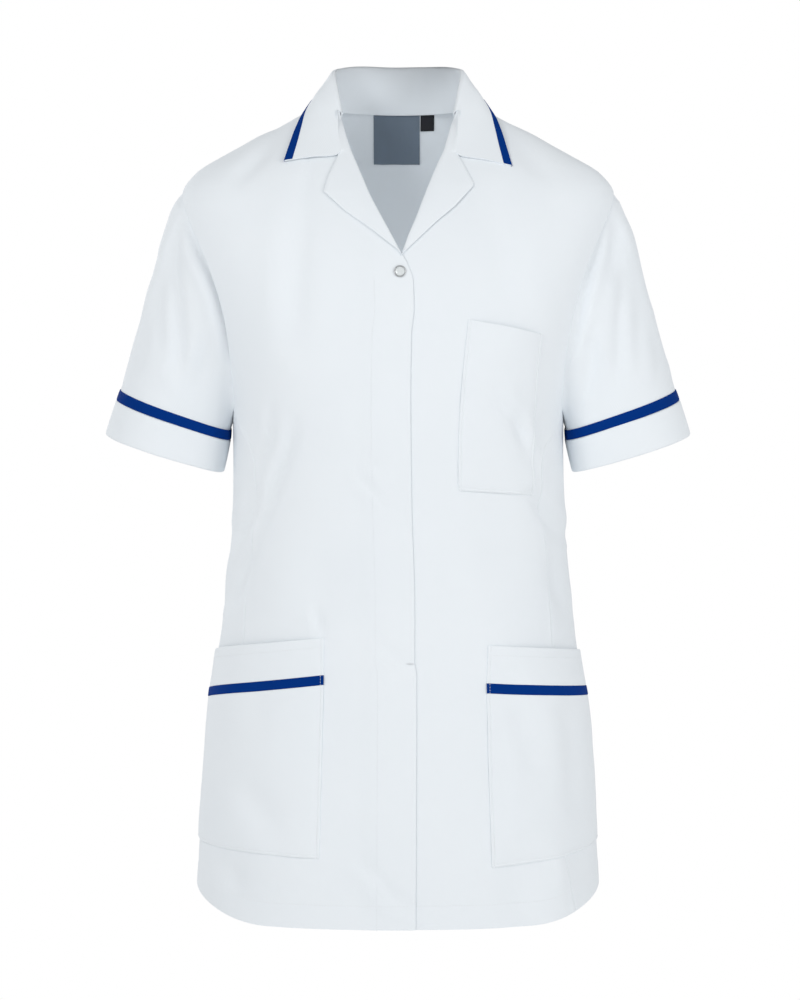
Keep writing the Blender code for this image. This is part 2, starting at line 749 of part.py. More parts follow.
def build_sleeves():
    for side in (RIGHT, LEFT):
        reverse = side == RIGHT
        name = side_name(side)
        cloth(f"sleeve_{name}", sleeve_rows(side), WALL, "white_polycotton", True, reverse)
        lift = WALL + SEAM_GAP
        trim = [cuff_loop(TRIM_TOP, side, lift), cuff_loop(TRIM_FOOT, side, lift)]
        cloth(f"cuff_trim_{name}", trim, TAPE_WALL, "royal_blue_tape", True, reverse)
        top = SEAM_GAP / (TRIM_FOOT.z - CUFF_FOOT.z)
        stops = [blend(top, 1.0, row / CUFF_ROWS) for row in range(CUFF_ROWS + 1)]
        cuff = [cuff_loop(between_rings(TRIM_FOOT, CUFF_FOOT, stop), side) for stop in stops]
        cloth(f"cuff_{name}", cuff, HEMMED_WALL, "white_polycotton", True, reverse)


def build_collar():
    rows = collar_rows()
    cloth("collar", rows, COLLAR_WALL, "white_polycotton", offset=0.0)
    trim = [row[-2:] for row in rows]
    normals = [row[-2:] for row in grid_normals(rows)]
    lift = COLLAR_WALL / 2.0 + SEAM_GAP
    raised = [
        [point - away * lift for point, away in zip(row, aways)]
        for row, aways in zip(trim, normals)
    ]
    cloth("collar_trim", raised, TAPE_WALL, "royal_blue_tape")


def build_pockets():
    cloth("chest_pocket", chest_pocket_rows(), WALL, "white_polycotton")
    for side in (RIGHT, LEFT):
        reverse = side == RIGHT
        name = side_name(side)
        band = hip_rows(HIP_BANDS[side], side, HIP_BAND_ROWS)
        cloth(f"hip_pocket_band_{name}", band, BAND_WALL, "white_polycotton", reverse=reverse)
        trim = hip_rows(HIP_TRIMS[side], side, 1)
        cloth(f"hip_pocket_trim_{name}", trim, BAND_WALL, "royal_blue_tape", reverse=reverse)
        pocket = hip_rows(HIP_POCKETS[side], side, HIP_POCKET_ROWS)
        cloth(f"hip_pocket_{name}", pocket, WALL, "white_polycotton", reverse=reverse)


def build_stud():
    """A pearl cap held in a metal ring, square to the cloth at the foot of the V."""
    turn = turn_at_x(STUD_Z, -STUD_X)
    away = Vector(normal(turn, STUD_Z, RIGHT))
    seat = Vector(cloth_point(turn, STUD_Z, RIGHT, WALL + SEAM_GAP, lapped=True))
    turned = Vector((0.0, 0.0, 1.0)).rotation_difference(away)
    bpy.ops.mesh.primitive_torus_add(
        major_segments=20,
        minor_segments=6,
        major_radius=(STUD_RADIUS - STUD_RIM) * MM,
        minor_radius=STUD_RIM * MM,
    )
    adopt("stud_ring", "nickel", seat + away * STUD_RIM, turned)
    cap_radius = STUD_RADIUS - 2.0 * STUD_RIM - SEAM_GAP
    bpy.ops.mesh.primitive_uv_sphere_add(segments=16, ring_count=6, radius=cap_radius * MM)
    cap = adopt("stud_cap", "pearl", seat + away * STUD_CAP_HEIGHT, turned)
    for vertex in cap.data.vertices:
        vertex.co.z *= STUD_CAP_HEIGHT / cap_radius


def adopt(name, finish, place, turned):
    """Takes the primitive just added as a piece of the tunic."""
    obj = bpy.context.object
    obj.name = name
    obj.data.name = name
    obj.data.materials.append(material(finish))
    obj.data.shade_smooth()
    obj.location = place * MM
    obj.rotation_mode = "QUATERNION"
    obj.rotation_quaternion = turned
    for collection in list(obj.users_collection):
        collection.objects.unlink(obj)
    bpy.data.collections["medical_tunic"].objects.link(obj)
    return obj


def build_labels():
    lift = -(LABEL_WALL + SEAM_GAP)
    cloth("neck_label", label_rows(LABEL, lift), LABEL_WALL, "woven_label")
    cloth("size_tab", label_rows(SIZE_TAB, lift), LABEL_WALL, "black_tab")


def main():
    clear_scene()
    bpy.context.scene.collection.children.link(bpy.data.collections.new("medical_tunic"))
    build_body()
    build_sleeves()
    build_collar()
    build_pockets()
    build_stud()
    build_labels()


main()
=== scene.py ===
import math

import bmesh
import bpy
import numpy as np
from mathutils import Matrix, Vector


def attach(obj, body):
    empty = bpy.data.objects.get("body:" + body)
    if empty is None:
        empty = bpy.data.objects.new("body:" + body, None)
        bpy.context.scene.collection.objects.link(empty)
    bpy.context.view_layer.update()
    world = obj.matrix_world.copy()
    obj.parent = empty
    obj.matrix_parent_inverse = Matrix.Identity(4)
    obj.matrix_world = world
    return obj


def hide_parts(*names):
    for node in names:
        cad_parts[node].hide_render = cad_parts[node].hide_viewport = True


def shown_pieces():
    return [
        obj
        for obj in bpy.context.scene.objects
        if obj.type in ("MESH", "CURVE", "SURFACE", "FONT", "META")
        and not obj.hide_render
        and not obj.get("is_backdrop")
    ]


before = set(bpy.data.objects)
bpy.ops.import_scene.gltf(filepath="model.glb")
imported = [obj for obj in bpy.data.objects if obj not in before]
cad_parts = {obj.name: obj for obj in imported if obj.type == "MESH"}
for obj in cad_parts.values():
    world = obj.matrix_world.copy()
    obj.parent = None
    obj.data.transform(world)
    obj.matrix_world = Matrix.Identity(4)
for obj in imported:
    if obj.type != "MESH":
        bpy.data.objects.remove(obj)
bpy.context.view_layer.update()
print("loaded the frame:", len(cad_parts), "nodes")

mm = 0.001
right, left = -1, 1  # the wearer's sides
sideNames = {right: "Right", left: "Left"}
cadSides = {right: "right", left: "left"}


# The form of the body and of its cloth

bodyForm = {  # level sections of the body, just inside the cloth
    "z": (5, -3, -12, -30, -44, -58, -75, -86, -98, -122, -151, -194,
          -248, -280, -330, -380, -410, -450, -500, -541, -596, -651, -731),
    "halfWidth": (65.5, 84.5, 101.5, 135, 161.5, 184, 196.5, 198.2, 196, 190, 182, 169,
                  155, 150.4, 149.9, 150.6, 152.6, 157.4, 164.8, 171, 176, 180.4, 184.8),
    "front": (14, 22, 31, 46, 57, 67, 78, 84.5, 91, 102, 112, 121,
              126, 126, 122, 118, 117.5, 119, 122.5, 125.5, 128, 130, 132),
    "back": (60, 64, 69, 79, 86, 92, 98, 101, 104, 108, 111, 112.5,
             110, 107, 100, 95, 95, 99, 105, 111, 116, 120, 123),
    "squareness": (2.1, 2.2, 2.3, 2.35, 2.4, 2.45, 2.5, 2.5, 2.5, 2.5, 2.5, 2.5,
                   2.45, 2.4, 2.35, 2.3, 2.3, 2.3, 2.35, 2.4, 2.4, 2.4, 2.4),
}
landmarks = {"neck": 4.5, "shoulder": -75, "princess": -268, "underarm": -280,
             "hemStart": -560, "hem": -731, "hemRise": 26, "hemRiseSpan": 0.54}
frontEdges = {  # free edge of each front: neck, roll line, foot of the V, fly
    right: {"z": (3, -3, -9, -31, -43, -55, -70, -88, -104, -121, -137, -146, -162,
                  -186, -208, -262, -351, -450, -498, -506, -731),
            "x": (64, 58.5, 52.5, 45.6, 41.7, 36.8, 30.7, 23.3, 15.1, 6, -2.6, -7.7, -13.2,
                  -13.9, -11.7, -10.9, -11.7, -14.4, -14.4, -16.2, -15.5)},
    left: {"z": (3, -3, -9, -31, -43, -55, -70, -88, -104, -121, -137, -148, -162, -731),
           "x": (64, 58.5, 51.5, 44.2, 40.8, 35.5, 29.3, 22.3, 16.4, 9.2, 3.1, -5, -12, -12)},
}
armholeFront = {
    "z": (-75, -79, -86, -98, -122, -151, -172, -194, -221, -248, -268),
    "x": (196.5, 196.2, 194.2, 189.8, 179.5, 167.5, 160.8, 155.4, 151.2, 148.6, 147.4)}
armholeBack = {
    "z": (-75, -79, -86, -98, -122, -151, -194, -221, -248, -268, -280),
    "y": (0, 13, 23.5, 33, 43, 49, 51, 47, 37, 22, 0)}
princessSeam = {
    "z": (-268, -282, -295, -308, -325, -359, -390, -414, -450, -487, -669, -731),
    "x": (147.4, 145, 137.4, 130.8, 127.2, 127, 131, 134, 135.8, 137.6, 148, 158)}

clothForm = {
    "surface": 1.2,  # how far the cloth's face stands off the body form
    "thickness": 0.85,
    "lap": 1.9,  # how much further the right front stands out over the left
    "lapStart": 36, "lapFull": 18,
    "seamDepth": 0.45, "seamWidth": 1.0,  # the valley that a pressed seam makes
    "swell": 95, "swellHeight": 0.35,  # the cloth is never quite even
    "hemDepth": 21, "hemEdge": 2.0, "hemLift": 0.25,  # its double layer stands a little proud
    "meshStep": 4.4,
    "edgeStops": (0, 0.5, 1.1, 2.0, 3.4),
    "topStops": (0, 1, 2.5), "hemStops": (0, 0.6, 1.6, 3.2),
}
normalProbe = {"turn": 0.012, "z": 2.5}  # how far to each side a direction is measured


def hermite(start, end, first, last, t):
    # from start to end, leaving along first and arriving along last
    straight = (1 + 2 * t) * (1 - t) ** 2 * start + t * t * (3 - 2 * t) * end
    return straight + t * (1 - t) * ((1 - t) * first - t * last)


def ease(share):
    share = np.clip(share, 0, 1)
    return share * share * (3 - 2 * share)


def bump(away, width):
    # 1 in the middle, and next to nothing two widths away
    return np.exp(-(away / width) ** 2)


def smoothRead(table, key, at):
    # a smooth curve through the table's rows that never overshoots them
    order = np.argsort(table["z"])
    knots = np.array(table["z"], float)[order]
    values = np.array(table[key], float)[order]
    at = np.clip(np.asarray(at, float), knots[0], knots[-1])
    low = np.clip(np.searchsorted(knots, at, side="right") - 1, 0, len(knots) - 2)
    steps = np.diff(values) / np.diff(knots)
    slopes = np.concatenate([steps[:1], np.zeros(len(steps) - 1), steps[-1:]])
    before, after = steps[:-1], steps[1:]
    rising = before * after > 0
    slopes[1:-1][rising] = (2 * before * after)[rising] / (before + after)[rising]
    span = knots[low + 1] - knots[low]
    first, last = span * slopes[low], span * slopes[low + 1]
    return hermite(values[low], values[low + 1], first, last, (at - knots[low]) / span)


ringStep = 2.0
ringHeights = np.arange(-760, 12, ringStep)
ringColumns = 97
ringAngles = np.linspace(0, math.pi / 2, ringColumns)


def bodySection(z, back):
    across, power = smoothRead(bodyForm, "halfWidth", z), smoothRead(bodyForm, "squareness", z)
    depth = np.where(back, smoothRead(bodyForm, "back", z), smoothRead(bodyForm, "front", z))
    return across, depth, power


def ringReach(angle, z, back):
    across, depth, power = bodySection(z, back)
    cosine, sine = np.clip(np.cos(angle), 0, 1), np.clip(np.sin(angle), 0, 1)
    return ((cosine / across) ** power + (sine / depth) ** power) ** (-1 / power)


def ringTables(back):
    # for each height: share of a quarter at each angle, angle at each share, length
    angle, z = np.meshgrid(ringAngles, ringHeights)
    reach = ringReach(angle, z, back)
    x, y = reach * np.cos(angle), reach * np.sin(angle)
    steps = np.hypot(np.diff(x, axis=1), np.diff(y, axis=1))
    along = np.concatenate([np.zeros((len(z), 1)), np.cumsum(steps, axis=1)], axis=1)
    shares = along / along[:, -1:]
    even = np.linspace(0, 1, ringColumns)
    angles = np.array([np.interp(even, row, ringAngles) for row in shares])
    return {"shares": shares, "angles": angles, "length": along[:, -1]}


ringsOf = {False: ringTables(False), True: ringTables(True)}


def lookUp(table, z, across):
    # between the rows and columns of a ring table; across runs from 0 to 1
    row = np.clip((z - ringHeights[0]) / ringStep, 0, len(ringHeights) - 1.001)
    column = np.clip(across, 0, 1) * (ringColumns - 1.001)
    r, c = row.astype(int), column.astype(int)
    u, v = row - r, column - c
    low = table[r, c] * (1 - v) + table[r, c + 1] * v
    high = table[r + 1, c] * (1 - v) + table[r + 1, c + 1] * v
    return low * (1 - u) + high * u


def quarterLength(z, back=False):
    return np.interp(z, ringHeights, ringsOf[back]["length"])


def bodyPoint(turn, z, side):
    # turn runs from 0 at the centre front, past 1 at the side, to 2 at the centre back
    turn, z, side = np.broadcast_arrays(*(np.asarray(a, float) for a in (turn, z, side)))
    side = np.where((turn < 0) | (turn > 2), -side, side)
    turn = np.where(turn > 2, 4 - turn, np.abs(turn))
    back = turn > 1
    share = np.abs(turn - 1)
    angle = np.where(back, lookUp(ringsOf[True]["angles"], z, share),
                     lookUp(ringsOf[False]["angles"], z, share))
    reach = ringReach(angle, z, back)
    y = reach * np.sin(angle)
    return np.stack([side * reach * np.cos(angle), np.where(back, y, -y), z], axis=-1)


def unit(vectors):
    return vectors / np.maximum(np.linalg.norm(vectors, axis=-1, keepdims=True), 1e-9)


def bodyNormal(turn, z, side):
    aside, up = normalProbe["turn"], normalProbe["z"]
    across = bodyPoint(turn + aside, z, side) - bodyPoint(turn - aside, z, side)
    down = bodyPoint(turn, z - up, side) - bodyPoint(turn, z + up, side)
    away = unit(np.cross(across, down))
    here = bodyPoint(turn, z, side)
    outward = np.sum(away[..., :2] * here[..., :2], axis=-1, keepdims=True) > 0
    return np.where(outward, away, -away)


def turnAtX(z, reach, back=False):
    # where the ring comes that far to its own side; a negative reach is past the centre
    z, reach = np.broadcast_arrays(np.asarray(z, float), np.asarray(reach, float))
    across, depth, power = bodySection(z, back)
    flat = np.clip(1 - np.clip(np.abs(reach) / across, 0, 1) ** power, 0, 1)
    angle = np.arctan2(depth * flat ** (1 / power), np.abs(reach))
    share = lookUp(ringsOf[back]["shares"], z, angle / (math.pi / 2))
    turn = 1 + share if back else 1 - share
    return np.where(reach >= 0, turn, 4 - turn if back else -turn)


def turnAtY(z, distance):
    z, distance = np.broadcast_arrays(np.asarray(z, float), np.asarray(distance, float))
    across, depth, power = bodySection(z, True)
    flat = np.clip(1 - np.clip(distance / depth, 0, 1) ** power, 0, 1)
    angle = np.arctan2(distance, across * flat ** (1 / power))
    return 1 + lookUp(ringsOf[True]["shares"], z, angle / (math.pi / 2))


# Main creases: side, a path of x and z, width, depth. A positive depth is a trough
# with a low ridge along its lower side, a negative one a ridge with a low trough.
creaseTables = {
    "front": (
        (right, (91, -284, 96, -309, 106, -334, 115, -362, 124, -380, 127, -392), 5.5, 1.7),
        (right, (112, -272, 112.5, -300, 122, -318), 4, 1.2),
        (right, (126, -346, 131, -366, 141, -388), 5.5, 2.4),
        (right, (129, -396, 140, -419, 149, -452), 6, 2.6),
        (right, (104, -16, 123, -47, 145, -71), 7, 1.3),
        (right, (80, -50, 84, -86), 4, 0.9),
        (right, (84, -78, 90, -160, 90, -216), 12, 1.9),
        (right, (33, -334, 22, -346, 12, -360), 4, 0.7),
        (right, (22, -322, 12, -332), 4, 0.6),
        (right, (74, -448, 70, -460, 66, -474), 4, 1.2),
        (right, (33, -672, 20, -683, 5, -701, -13, -714), 6, 1.2),
        (right, (17, -481, 5, -490, -8, -499), 5, 0.9),
        (right, (138, -603, 124, -624, 106, -648), 14, 1.7),
        (right, (118, -528, 131, -560), 12, 1.0),
        (right, (152, -676, 140, -706), 10, 1.3),
        (right, (60, -400, 66, -470), 20, 0.9),
        (left, (103, -281, 112, -306, 118, -322), 4.5, 1.5),
        (left, (121, -281, 126, -294, 127.5, -312), 5, 1.3),
        (left, (120, -350, 130, -367, 145, -390), 6, 2.4),
        (left, (138, -392, 140, -430, 150, -462), 6, 1.5),
        (left, (84, -262, 99, -281, 116, -304), 6, 1.4),
        (left, (94, -16, 118, -50, 134, -68), 9, 1.0),
        (left, (86, -86, 94, -180), 14, 1.4),
        (left, (82, -482, 92, -500, 104, -514), 5, 1.1),
        (left, (96, -516, 112, -560, 124, -600), 11, 1.5),
        (left, (83, -560, 88, -600, 92, -640), 7, 1.0),
        (left, (150, -530, 152, -580, 158, -640), 9, 1.5),
        (left, (100, -664, 106, -700, 110, -740), 18, 1.6),
        (left, (138, -668, 146, -700), 8, -1.2),
        (left, (38, -420, 30, -520), 22, 0.9),
        (left, (12, -190, 30, -205), 5, 0.6),
        (left, (70, -300, 86, -360, 98, -440), 26, 1.3),
    ),
    "back": (
        (right, (58, -292, 76, -330, 104, -366, 138, -392), 8, 2.4),
        (left, (52, -300, 74, -342, 100, -374, 134, -404), 8, 2.4),
        (right, (24, -352, 60, -376, 104, -404), 6, 1.4),
        (left, (18, -330, 56, -362, 96, -392), 6, 1.3),
        (left, (122, -150, 116, -200, 110, -266), 9, 2.0),
        (right, (126, -158, 120, -210, 112, -272), 9, 1.9),
        (left, (60, -590, 64, -660, 68, -760), 24, -2.8),
        (right, (46, -580, 44, -660, 38, -760), 24, 2.6),
        (right, (118, -610, 124, -680, 126, -760), 22, -2.6),
        (left, (116, -600, 122, -680, 126, -760), 20, 1.8),
        (left, (96, -288, 112, -318, 136, -342), 6, 1.3),
        (right, (98, -284, 116, -312, 138, -334), 6, 1.4),
        (right, (66, -30, 84, -80, 98, -150), 11, 1.3),
        (left, (70, -34, 84, -90, 94, -140), 11, 1.2),
        (left, (4, -60, 2, -150, 6, -230), 24, -0.9),
        (right, (30, -420, 44, -470, 48, -540), 16, 1.2),
    ),
    "sleeve": (
        (right, (191, -105, 181, -128, 170, -149, 162, -168, 155, -196, 150, -228), 5.5, 2.2),
        (right, (200, -104, 204, -142, 200, -176, 197, -212, 196, -244), 7, 2.2),
        (right, (214, -138, 217, -176, 212, -224), 7, 1.8),
        (right, (172, -212, 176, -236, 184, -258), 7, 1.2),
        (right, (226, -180, 232, -214, 240, -236), 8, 1.2),
        (left, (184, -118, 172, -150, 164, -184, 157, -220), 4.5, 1.5),
        (left, (200, -96, 196, -128, 192, -150), 8, 1.6),
        (left, (204, -150, 200, -190, 199, -250), 6, 1.3),
        (left, (212, -150, 218, -190, 216, -236), 9, 1.0),
        (left, (172, -206, 174, -232, 170, -256), 6, 1.3),
        (left, (232, -196, 238, -226, 236, -246), 7, 1.2),
    ),
}
creaseForm = {
    "strength": 2.2,  # for all of them together
    "ridge": 0.45, "ridgeAt": 1.9, "ridgeWidth": 1.1,  # the ridge, for the trough's depth and width
    "endShare": 0.06, "endPower": 0.7,  # how each one dies out at its ends
}


def creaseDepth(points, table):
    depth = np.zeros(points.shape[:-1])
    here = points[..., [0, 2]]
    for side, path, width, most in creaseTables[table]:
        line = np.array(path, float).reshape(-1, 2) * (side, 1)
        steps = np.linalg.norm(np.diff(line, axis=0), axis=1)
        before = np.concatenate([[0], np.cumsum(steps)])
        nearest = np.full(here.shape[:-1], 1e6)
        along, beside = np.zeros(nearest.shape), np.zeros(nearest.shape)
        for start, end, length, run in zip(line[:-1], line[1:], steps, before[:-1]):
            reach = here - start
            share = np.clip(reach @ (end - start) / length ** 2, 0, 1)
            away = np.linalg.norm(reach - share[..., None] * (end - start), axis=-1)
            turned = reach @ np.array((end[1] - start[1], start[0] - end[0])) * side
            closer = away < nearest
            along = np.where(closer, (run + share * length) / before[-1], along)
            beside = np.where(closer, np.sign(turned) * away, beside)
            nearest = np.minimum(away, nearest)
        end = creaseForm["endShare"] + (1 - 2 * creaseForm["endShare"]) * along
        taper = np.sin(np.pi * np.clip(end, 0, 1)) ** creaseForm["endPower"]
        ridge = bump(beside / width + creaseForm["ridgeAt"], creaseForm["ridgeWidth"])
        trough = bump(nearest, width) - creaseForm["ridge"] * ridge
        depth += creaseForm["strength"] * most * taper * trough
    return depth


waves = np.random.default_rng(11)
waveSet = [(waves.normal(size=3), waves.uniform(0, 6.3)) for _ in range(14)]


def unevenness(points, longest, amplitude):
    # a soft swell and sink that never repeats, about longest mm from crest to crest
    total = np.zeros(points.shape[:-1])
    for number, (direction, phase) in enumerate(waveSet):
        scale = 2 * math.pi / (longest * (0.55 + 0.09 * number))
        total += np.sin(points @ (direction / np.linalg.norm(direction)) * scale + phase)
    return amplitude * total / math.sqrt(len(waveSet))


def clothSwell(points):
    return unevenness(points, clothForm["swell"], clothForm["swellHeight"])


def lapLift(x, side):
    if side == left:
        return 0.0
    start, full = clothForm["lapStart"], clothForm["lapFull"]
    return clothForm["lap"] * ease((start + x) / (start - full))


def seamValley(distance):
    return clothForm["seamDepth"] * bump(distance, clothForm["seamWidth"])


def clothFace(turn, z, side, lift=0.0, lapped=False):
    # a point of a panel's face, with the creases and the cloth's unevenness in it
    point = bodyPoint(turn, z, side)
    back = (turn > 1) & (turn < 3)
    fold = np.where(back, creaseDepth(point, "back"), creaseDepth(point, "front"))
    out = clothForm["surface"] + lift - fold + clothSwell(point)
    if lapped:
        out = out + lapLift(point[..., 0], side)
    return point + bodyNormal(turn, z, side) * out[..., None]


def hemHeight(turn, z):
    # rows near the hem bend to its curve, which rises at the side seams
    away = np.minimum(np.abs(turn - 1), np.abs(turn - 3))
    rise = landmarks["hemRise"] * (1 - ease(away / landmarks["hemRiseSpan"]))
    share = (landmarks["hemStart"] - z) / (landmarks["hemStart"] - landmarks["hem"])
    return z + rise * np.clip(share, 0, 1)


def hemLift(z):
    top = landmarks["hem"] + clothForm["hemDepth"]
    return clothForm["hemLift"] * ease((top - z) / clothForm["hemEdge"])


# Grids, meshes and walls

def spacedRow(length, count, stops, farStops=None):
    # shares of a strip's width: close together at its edges, even between them
    farStops = stops if farStops is None else farStops
    near = np.array(stops)[None, :] / length[:, None]
    far = 1 - np.array(farStops)[::-1][None, :] / length[:, None]
    t = np.linspace(0, 1, count + 2)[None, 1:-1]
    middle = near[:, -1:] + (far[:, :1] - near[:, -1:]) * t
    return np.concatenate([near, middle, far], axis=1)


def gridMesh(name, points, closed=False):
    # a grid of points in mm as a mesh in metres, with UVs in metres along the cloth
    rows, columns = points.shape[:2]
    flat = (points.reshape(-1, 3) * mm).tolist()
    wrap = columns if closed else columns - 1
    r, c = np.meshgrid(np.arange(rows - 1), np.arange(wrap), indexing="ij")
    after = (c + 1) % columns
    faces = np.stack([r * columns + c, (r + 1) * columns + c,
                      (r + 1) * columns + after, r * columns + after], axis=-1).reshape(-1, 4)
    mesh = bpy.data.meshes.new(name)
    mesh.from_pydata(flat, [], faces.tolist())
    closing = np.concatenate([points, points[:, :1]], axis=1) if closed else points
    middle = rows // 2
    stepAcross = np.linalg.norm(np.diff(closing[middle], axis=0), axis=1)
    stepDown = np.linalg.norm(np.diff(points[:, columns // 2], axis=0), axis=1)
    u = np.concatenate([[0], np.cumsum(stepAcross)]) * mm
    v = -np.concatenate([[0], np.cumsum(stepDown)]) * mm
    rr, cc = r.reshape(-1), c.reshape(-1)
    uv = np.stack([np.stack([u[cc], v[rr]], -1), np.stack([u[cc], v[rr + 1]], -1),
                   np.stack([u[cc + 1], v[rr + 1]], -1), np.stack([u[cc + 1], v[rr]], -1)], axis=1)
    layer = mesh.uv_layers.new(name="clothGrain")
    layer.data.foreach_set("uv", uv.reshape(-1).astype(np.float32))
    mesh.update()
    return mesh


def faceOutward(mesh, outward):
    # turns the whole mesh over if its faces point against the given direction test
    total = sum(outward(f.center, f.normal) * f.area for f in mesh.polygons)
    if total < 0:
        mesh.flip_normals()


def awayFromAxis(centre, normal):
    return normal.x * centre.x + normal.y * centre.y


def facingFront(centre, normal):
    return -normal.y


def addPiece(name, mesh, kind):
    material, slot = kind
    mesh.materials.append(material)
    mesh.shade_smooth()
    piece = bpy.data.objects.new(name, mesh)
    bpy.context.scene.collection.objects.link(piece)
    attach(piece, "root")
    return piece


def giveWall(piece, thickness, offset, bevel):
    wall = piece.modifiers.new("Wall", "SOLIDIFY")
    wall.thickness = thickness * mm
    wall.offset = offset
    wall.use_even_offset = False
    if bevel:
        rim = piece.modifiers.new("Rim", "BEVEL")
        rim.width = bevel * mm
        rim.segments = 2
        rim.limit_method = "ANGLE"
        rim.angle_limit = math.radians(60)
        rim.harden_normals = False


def bakeModifiers(piece):
    graph = bpy.context.evaluated_depsgraph_get()
    baked = bpy.data.meshes.new_from_object(piece.evaluated_get(graph), depsgraph=graph)
    piece.modifiers.clear()
    old = piece.data
    piece.data = baked
    baked.name = piece.name
    bpy.data.meshes.remove(old)


# Spun polyester thread, about 0.4 mm thick, in lockstitch. Real stitches are 2.5 mm
# long and half sunk in the cloth, so each one is a small long bead just proud of it.
threadForm = {"stitch": (1.9, 0.42, 0.3), "pitch": 2.5, "tack": (1.8, 0.36, 0.3),
              "tackPitch": 0.42, "tackLift": 0.1, "proud": 0.05}
stitchRuns = []  # lines of stitches: points, outward directions and the way a stitch lies
tackRuns = []  # bar tacks, whose stitches lie across their line


def gridNormals(points):
    away = unit(np.cross(np.gradient(points, axis=1), np.gradient(points, axis=0)))
    outward = away[..., 0] * points[..., 0] + away[..., 1] * points[..., 1] > 0
    return np.where(outward[..., None], away, -away)


def keepRun(runs, points, normals, across=False):
    lie = unit(np.gradient(points, axis=0))
    if across:
        lie = unit(np.cross(normals, lie))
    runs.append((points, normals, lie))


def keepColumn(grids, column, runs):
    keepRun(runs, np.concatenate([g[:, column] for g in grids]),
            np.concatenate([gridNormals(g)[:, column] for g in grids]))


def keepRow(grid, row, runs, skip=5):
    keepRun(runs, grid[row, skip:-skip], gridNormals(grid)[row, skip:-skip])


def sharpEdges(piece):
    piece.data.set_sharp_from_angle(angle=math.radians(50))


def clothPiece(name, points, kind, node, side=None, thickness=clothForm["thickness"], closed=False,
               offset=-1.0, outward=awayFromAxis, bevel=0.25):
    # one thin shell in the place of the node; a piece of a pair is named after its side
    if side is not None:
        name, node = name + sideNames[side], node + "_" + cadSides[side]
    mesh = gridMesh(name, points, closed)
    faceOutward(mesh, outward)
    piece = addPiece(name, mesh, kind)
    giveWall(piece, thickness, offset, bevel)
    bakeModifiers(piece)
    piece.data.shade_smooth()
    sharpEdges(piece)
    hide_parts(node)


# Materials

def linear(hexColour):
    # sRGB hex to the linear values that a shader takes
    parts = [int(hexColour[i:i + 2], 16) / 255 for i in (1, 3, 5)]
    return tuple(p / 12.92 if p <= 0.04045 else ((p + 0.055) / 1.055) ** 2.4 for p in parts) + (1,)


def addNode(tree, kind, settings=None, inputs=None):
    # a node with its settings, and its inputs given as values or as links
    node = tree.nodes.new(kind)
    for key, value in (settings or {}).items():
        setattr(node, key, value)
    for key, value in (inputs or {}).items():
        if isinstance(value, bpy.types.NodeSocket):
            tree.links.new(value, node.inputs[key])
        else:
            node.inputs[key].default_value = value
    return node


def newMaterial(name, values):
    material = bpy.data.materials.new(name)
    material.use_nodes = True
    shader = material.node_tree.nodes["Principled BSDF"]
    for key, value in values.items():
        shader.inputs[key].default_value = value
    return material, material.node_tree, shader


def blended(tree, way, factor, first, second):
    mix = addNode(tree, "ShaderNodeMix", {"data_type": "RGBA", "blend_type": way},
                  {"Factor": factor, 6: first, 7: second})
    return mix.outputs[2]


def objectNoise(tree, values):
    place = addNode(tree, "ShaderNodeTexCoord")
    return addNode(tree, "ShaderNodeTexNoise", None, {"Vector": place.outputs["Object"], **values})


waveLength = 0.314  # of the wave texture's bands, at scale 1


def wovenMaterial(name, look):
    # twill: fine diagonal ribs over the cloth's own UVs, with a slow drift of shade
    material, tree, shader = newMaterial(name, {
        "Roughness": look["roughness"], "IOR": 1.5, "Specular IOR Level": look["specular"]})
    uv = addNode(tree, "ShaderNodeUVMap", {"uv_map": "clothGrain"})
    grain = addNode(tree, "ShaderNodeMapping", None, {
        "Vector": uv.outputs["UV"],
        "Rotation": (0, 0, math.radians(look["angle"]))}).outputs["Vector"]
    ribs = addNode(tree, "ShaderNodeTexWave", {"wave_type": "BANDS", "bands_direction": "X"},
                   {"Vector": grain, "Scale": waveLength / (look["rib"] * mm),
                    "Distortion": look["slub"], "Detail": 2, "Detail Scale": 2.5})
    fibre = addNode(tree, "ShaderNodeTexNoise", None,
                    {"Vector": grain, "Scale": 1 / (look["fibre"] * mm), "Detail": 3})
    drift = objectNoise(tree, {"Scale": 9, "Detail": 4, "Roughness": 0.55})
    tint = blended(tree, "MIX", drift.outputs["Fac"], linear(look["shade"]), linear(look["light"]))
    tint = blended(tree, "MULTIPLY", look["ribTint"], tint, ribs.outputs["Color"])
    tree.links.new(tint, shader.inputs["Base Color"])
    ribBump = addNode(tree, "ShaderNodeBump", None,
                      {"Height": ribs.outputs["Fac"], "Strength": look["ribBump"],
                       "Distance": look["ribHeight"] * mm})
    fibreBump = addNode(tree, "ShaderNodeBump", None,
                        {"Height": fibre.outputs["Fac"], "Strength": look["fibreBump"],
                         "Distance": look["fibreHeight"] * mm,
                         "Normal": ribBump.outputs["Normal"]})
    tree.links.new(fibreBump.outputs["Normal"], shader.inputs["Normal"])
    return material


# Polyester-cotton twill, bleached and pressed: a matt, slightly cool white whose
# ribs only show close to. Real ribs are 0.5 mm apart, drawn here at 0.9 mm.
twillLook = {"light": "#F0F5F9", "shade": "#EAF0F5", "angle": 52, "rib": 0.9, "slub": 0.7,
             "fibre": 0.35, "ribTint": 0.03, "ribBump": 0.22, "ribHeight": 0.05,
             "fibreBump": 0.10, "fibreHeight": 0.12, "roughness": 0.85, "specular": 0.2}
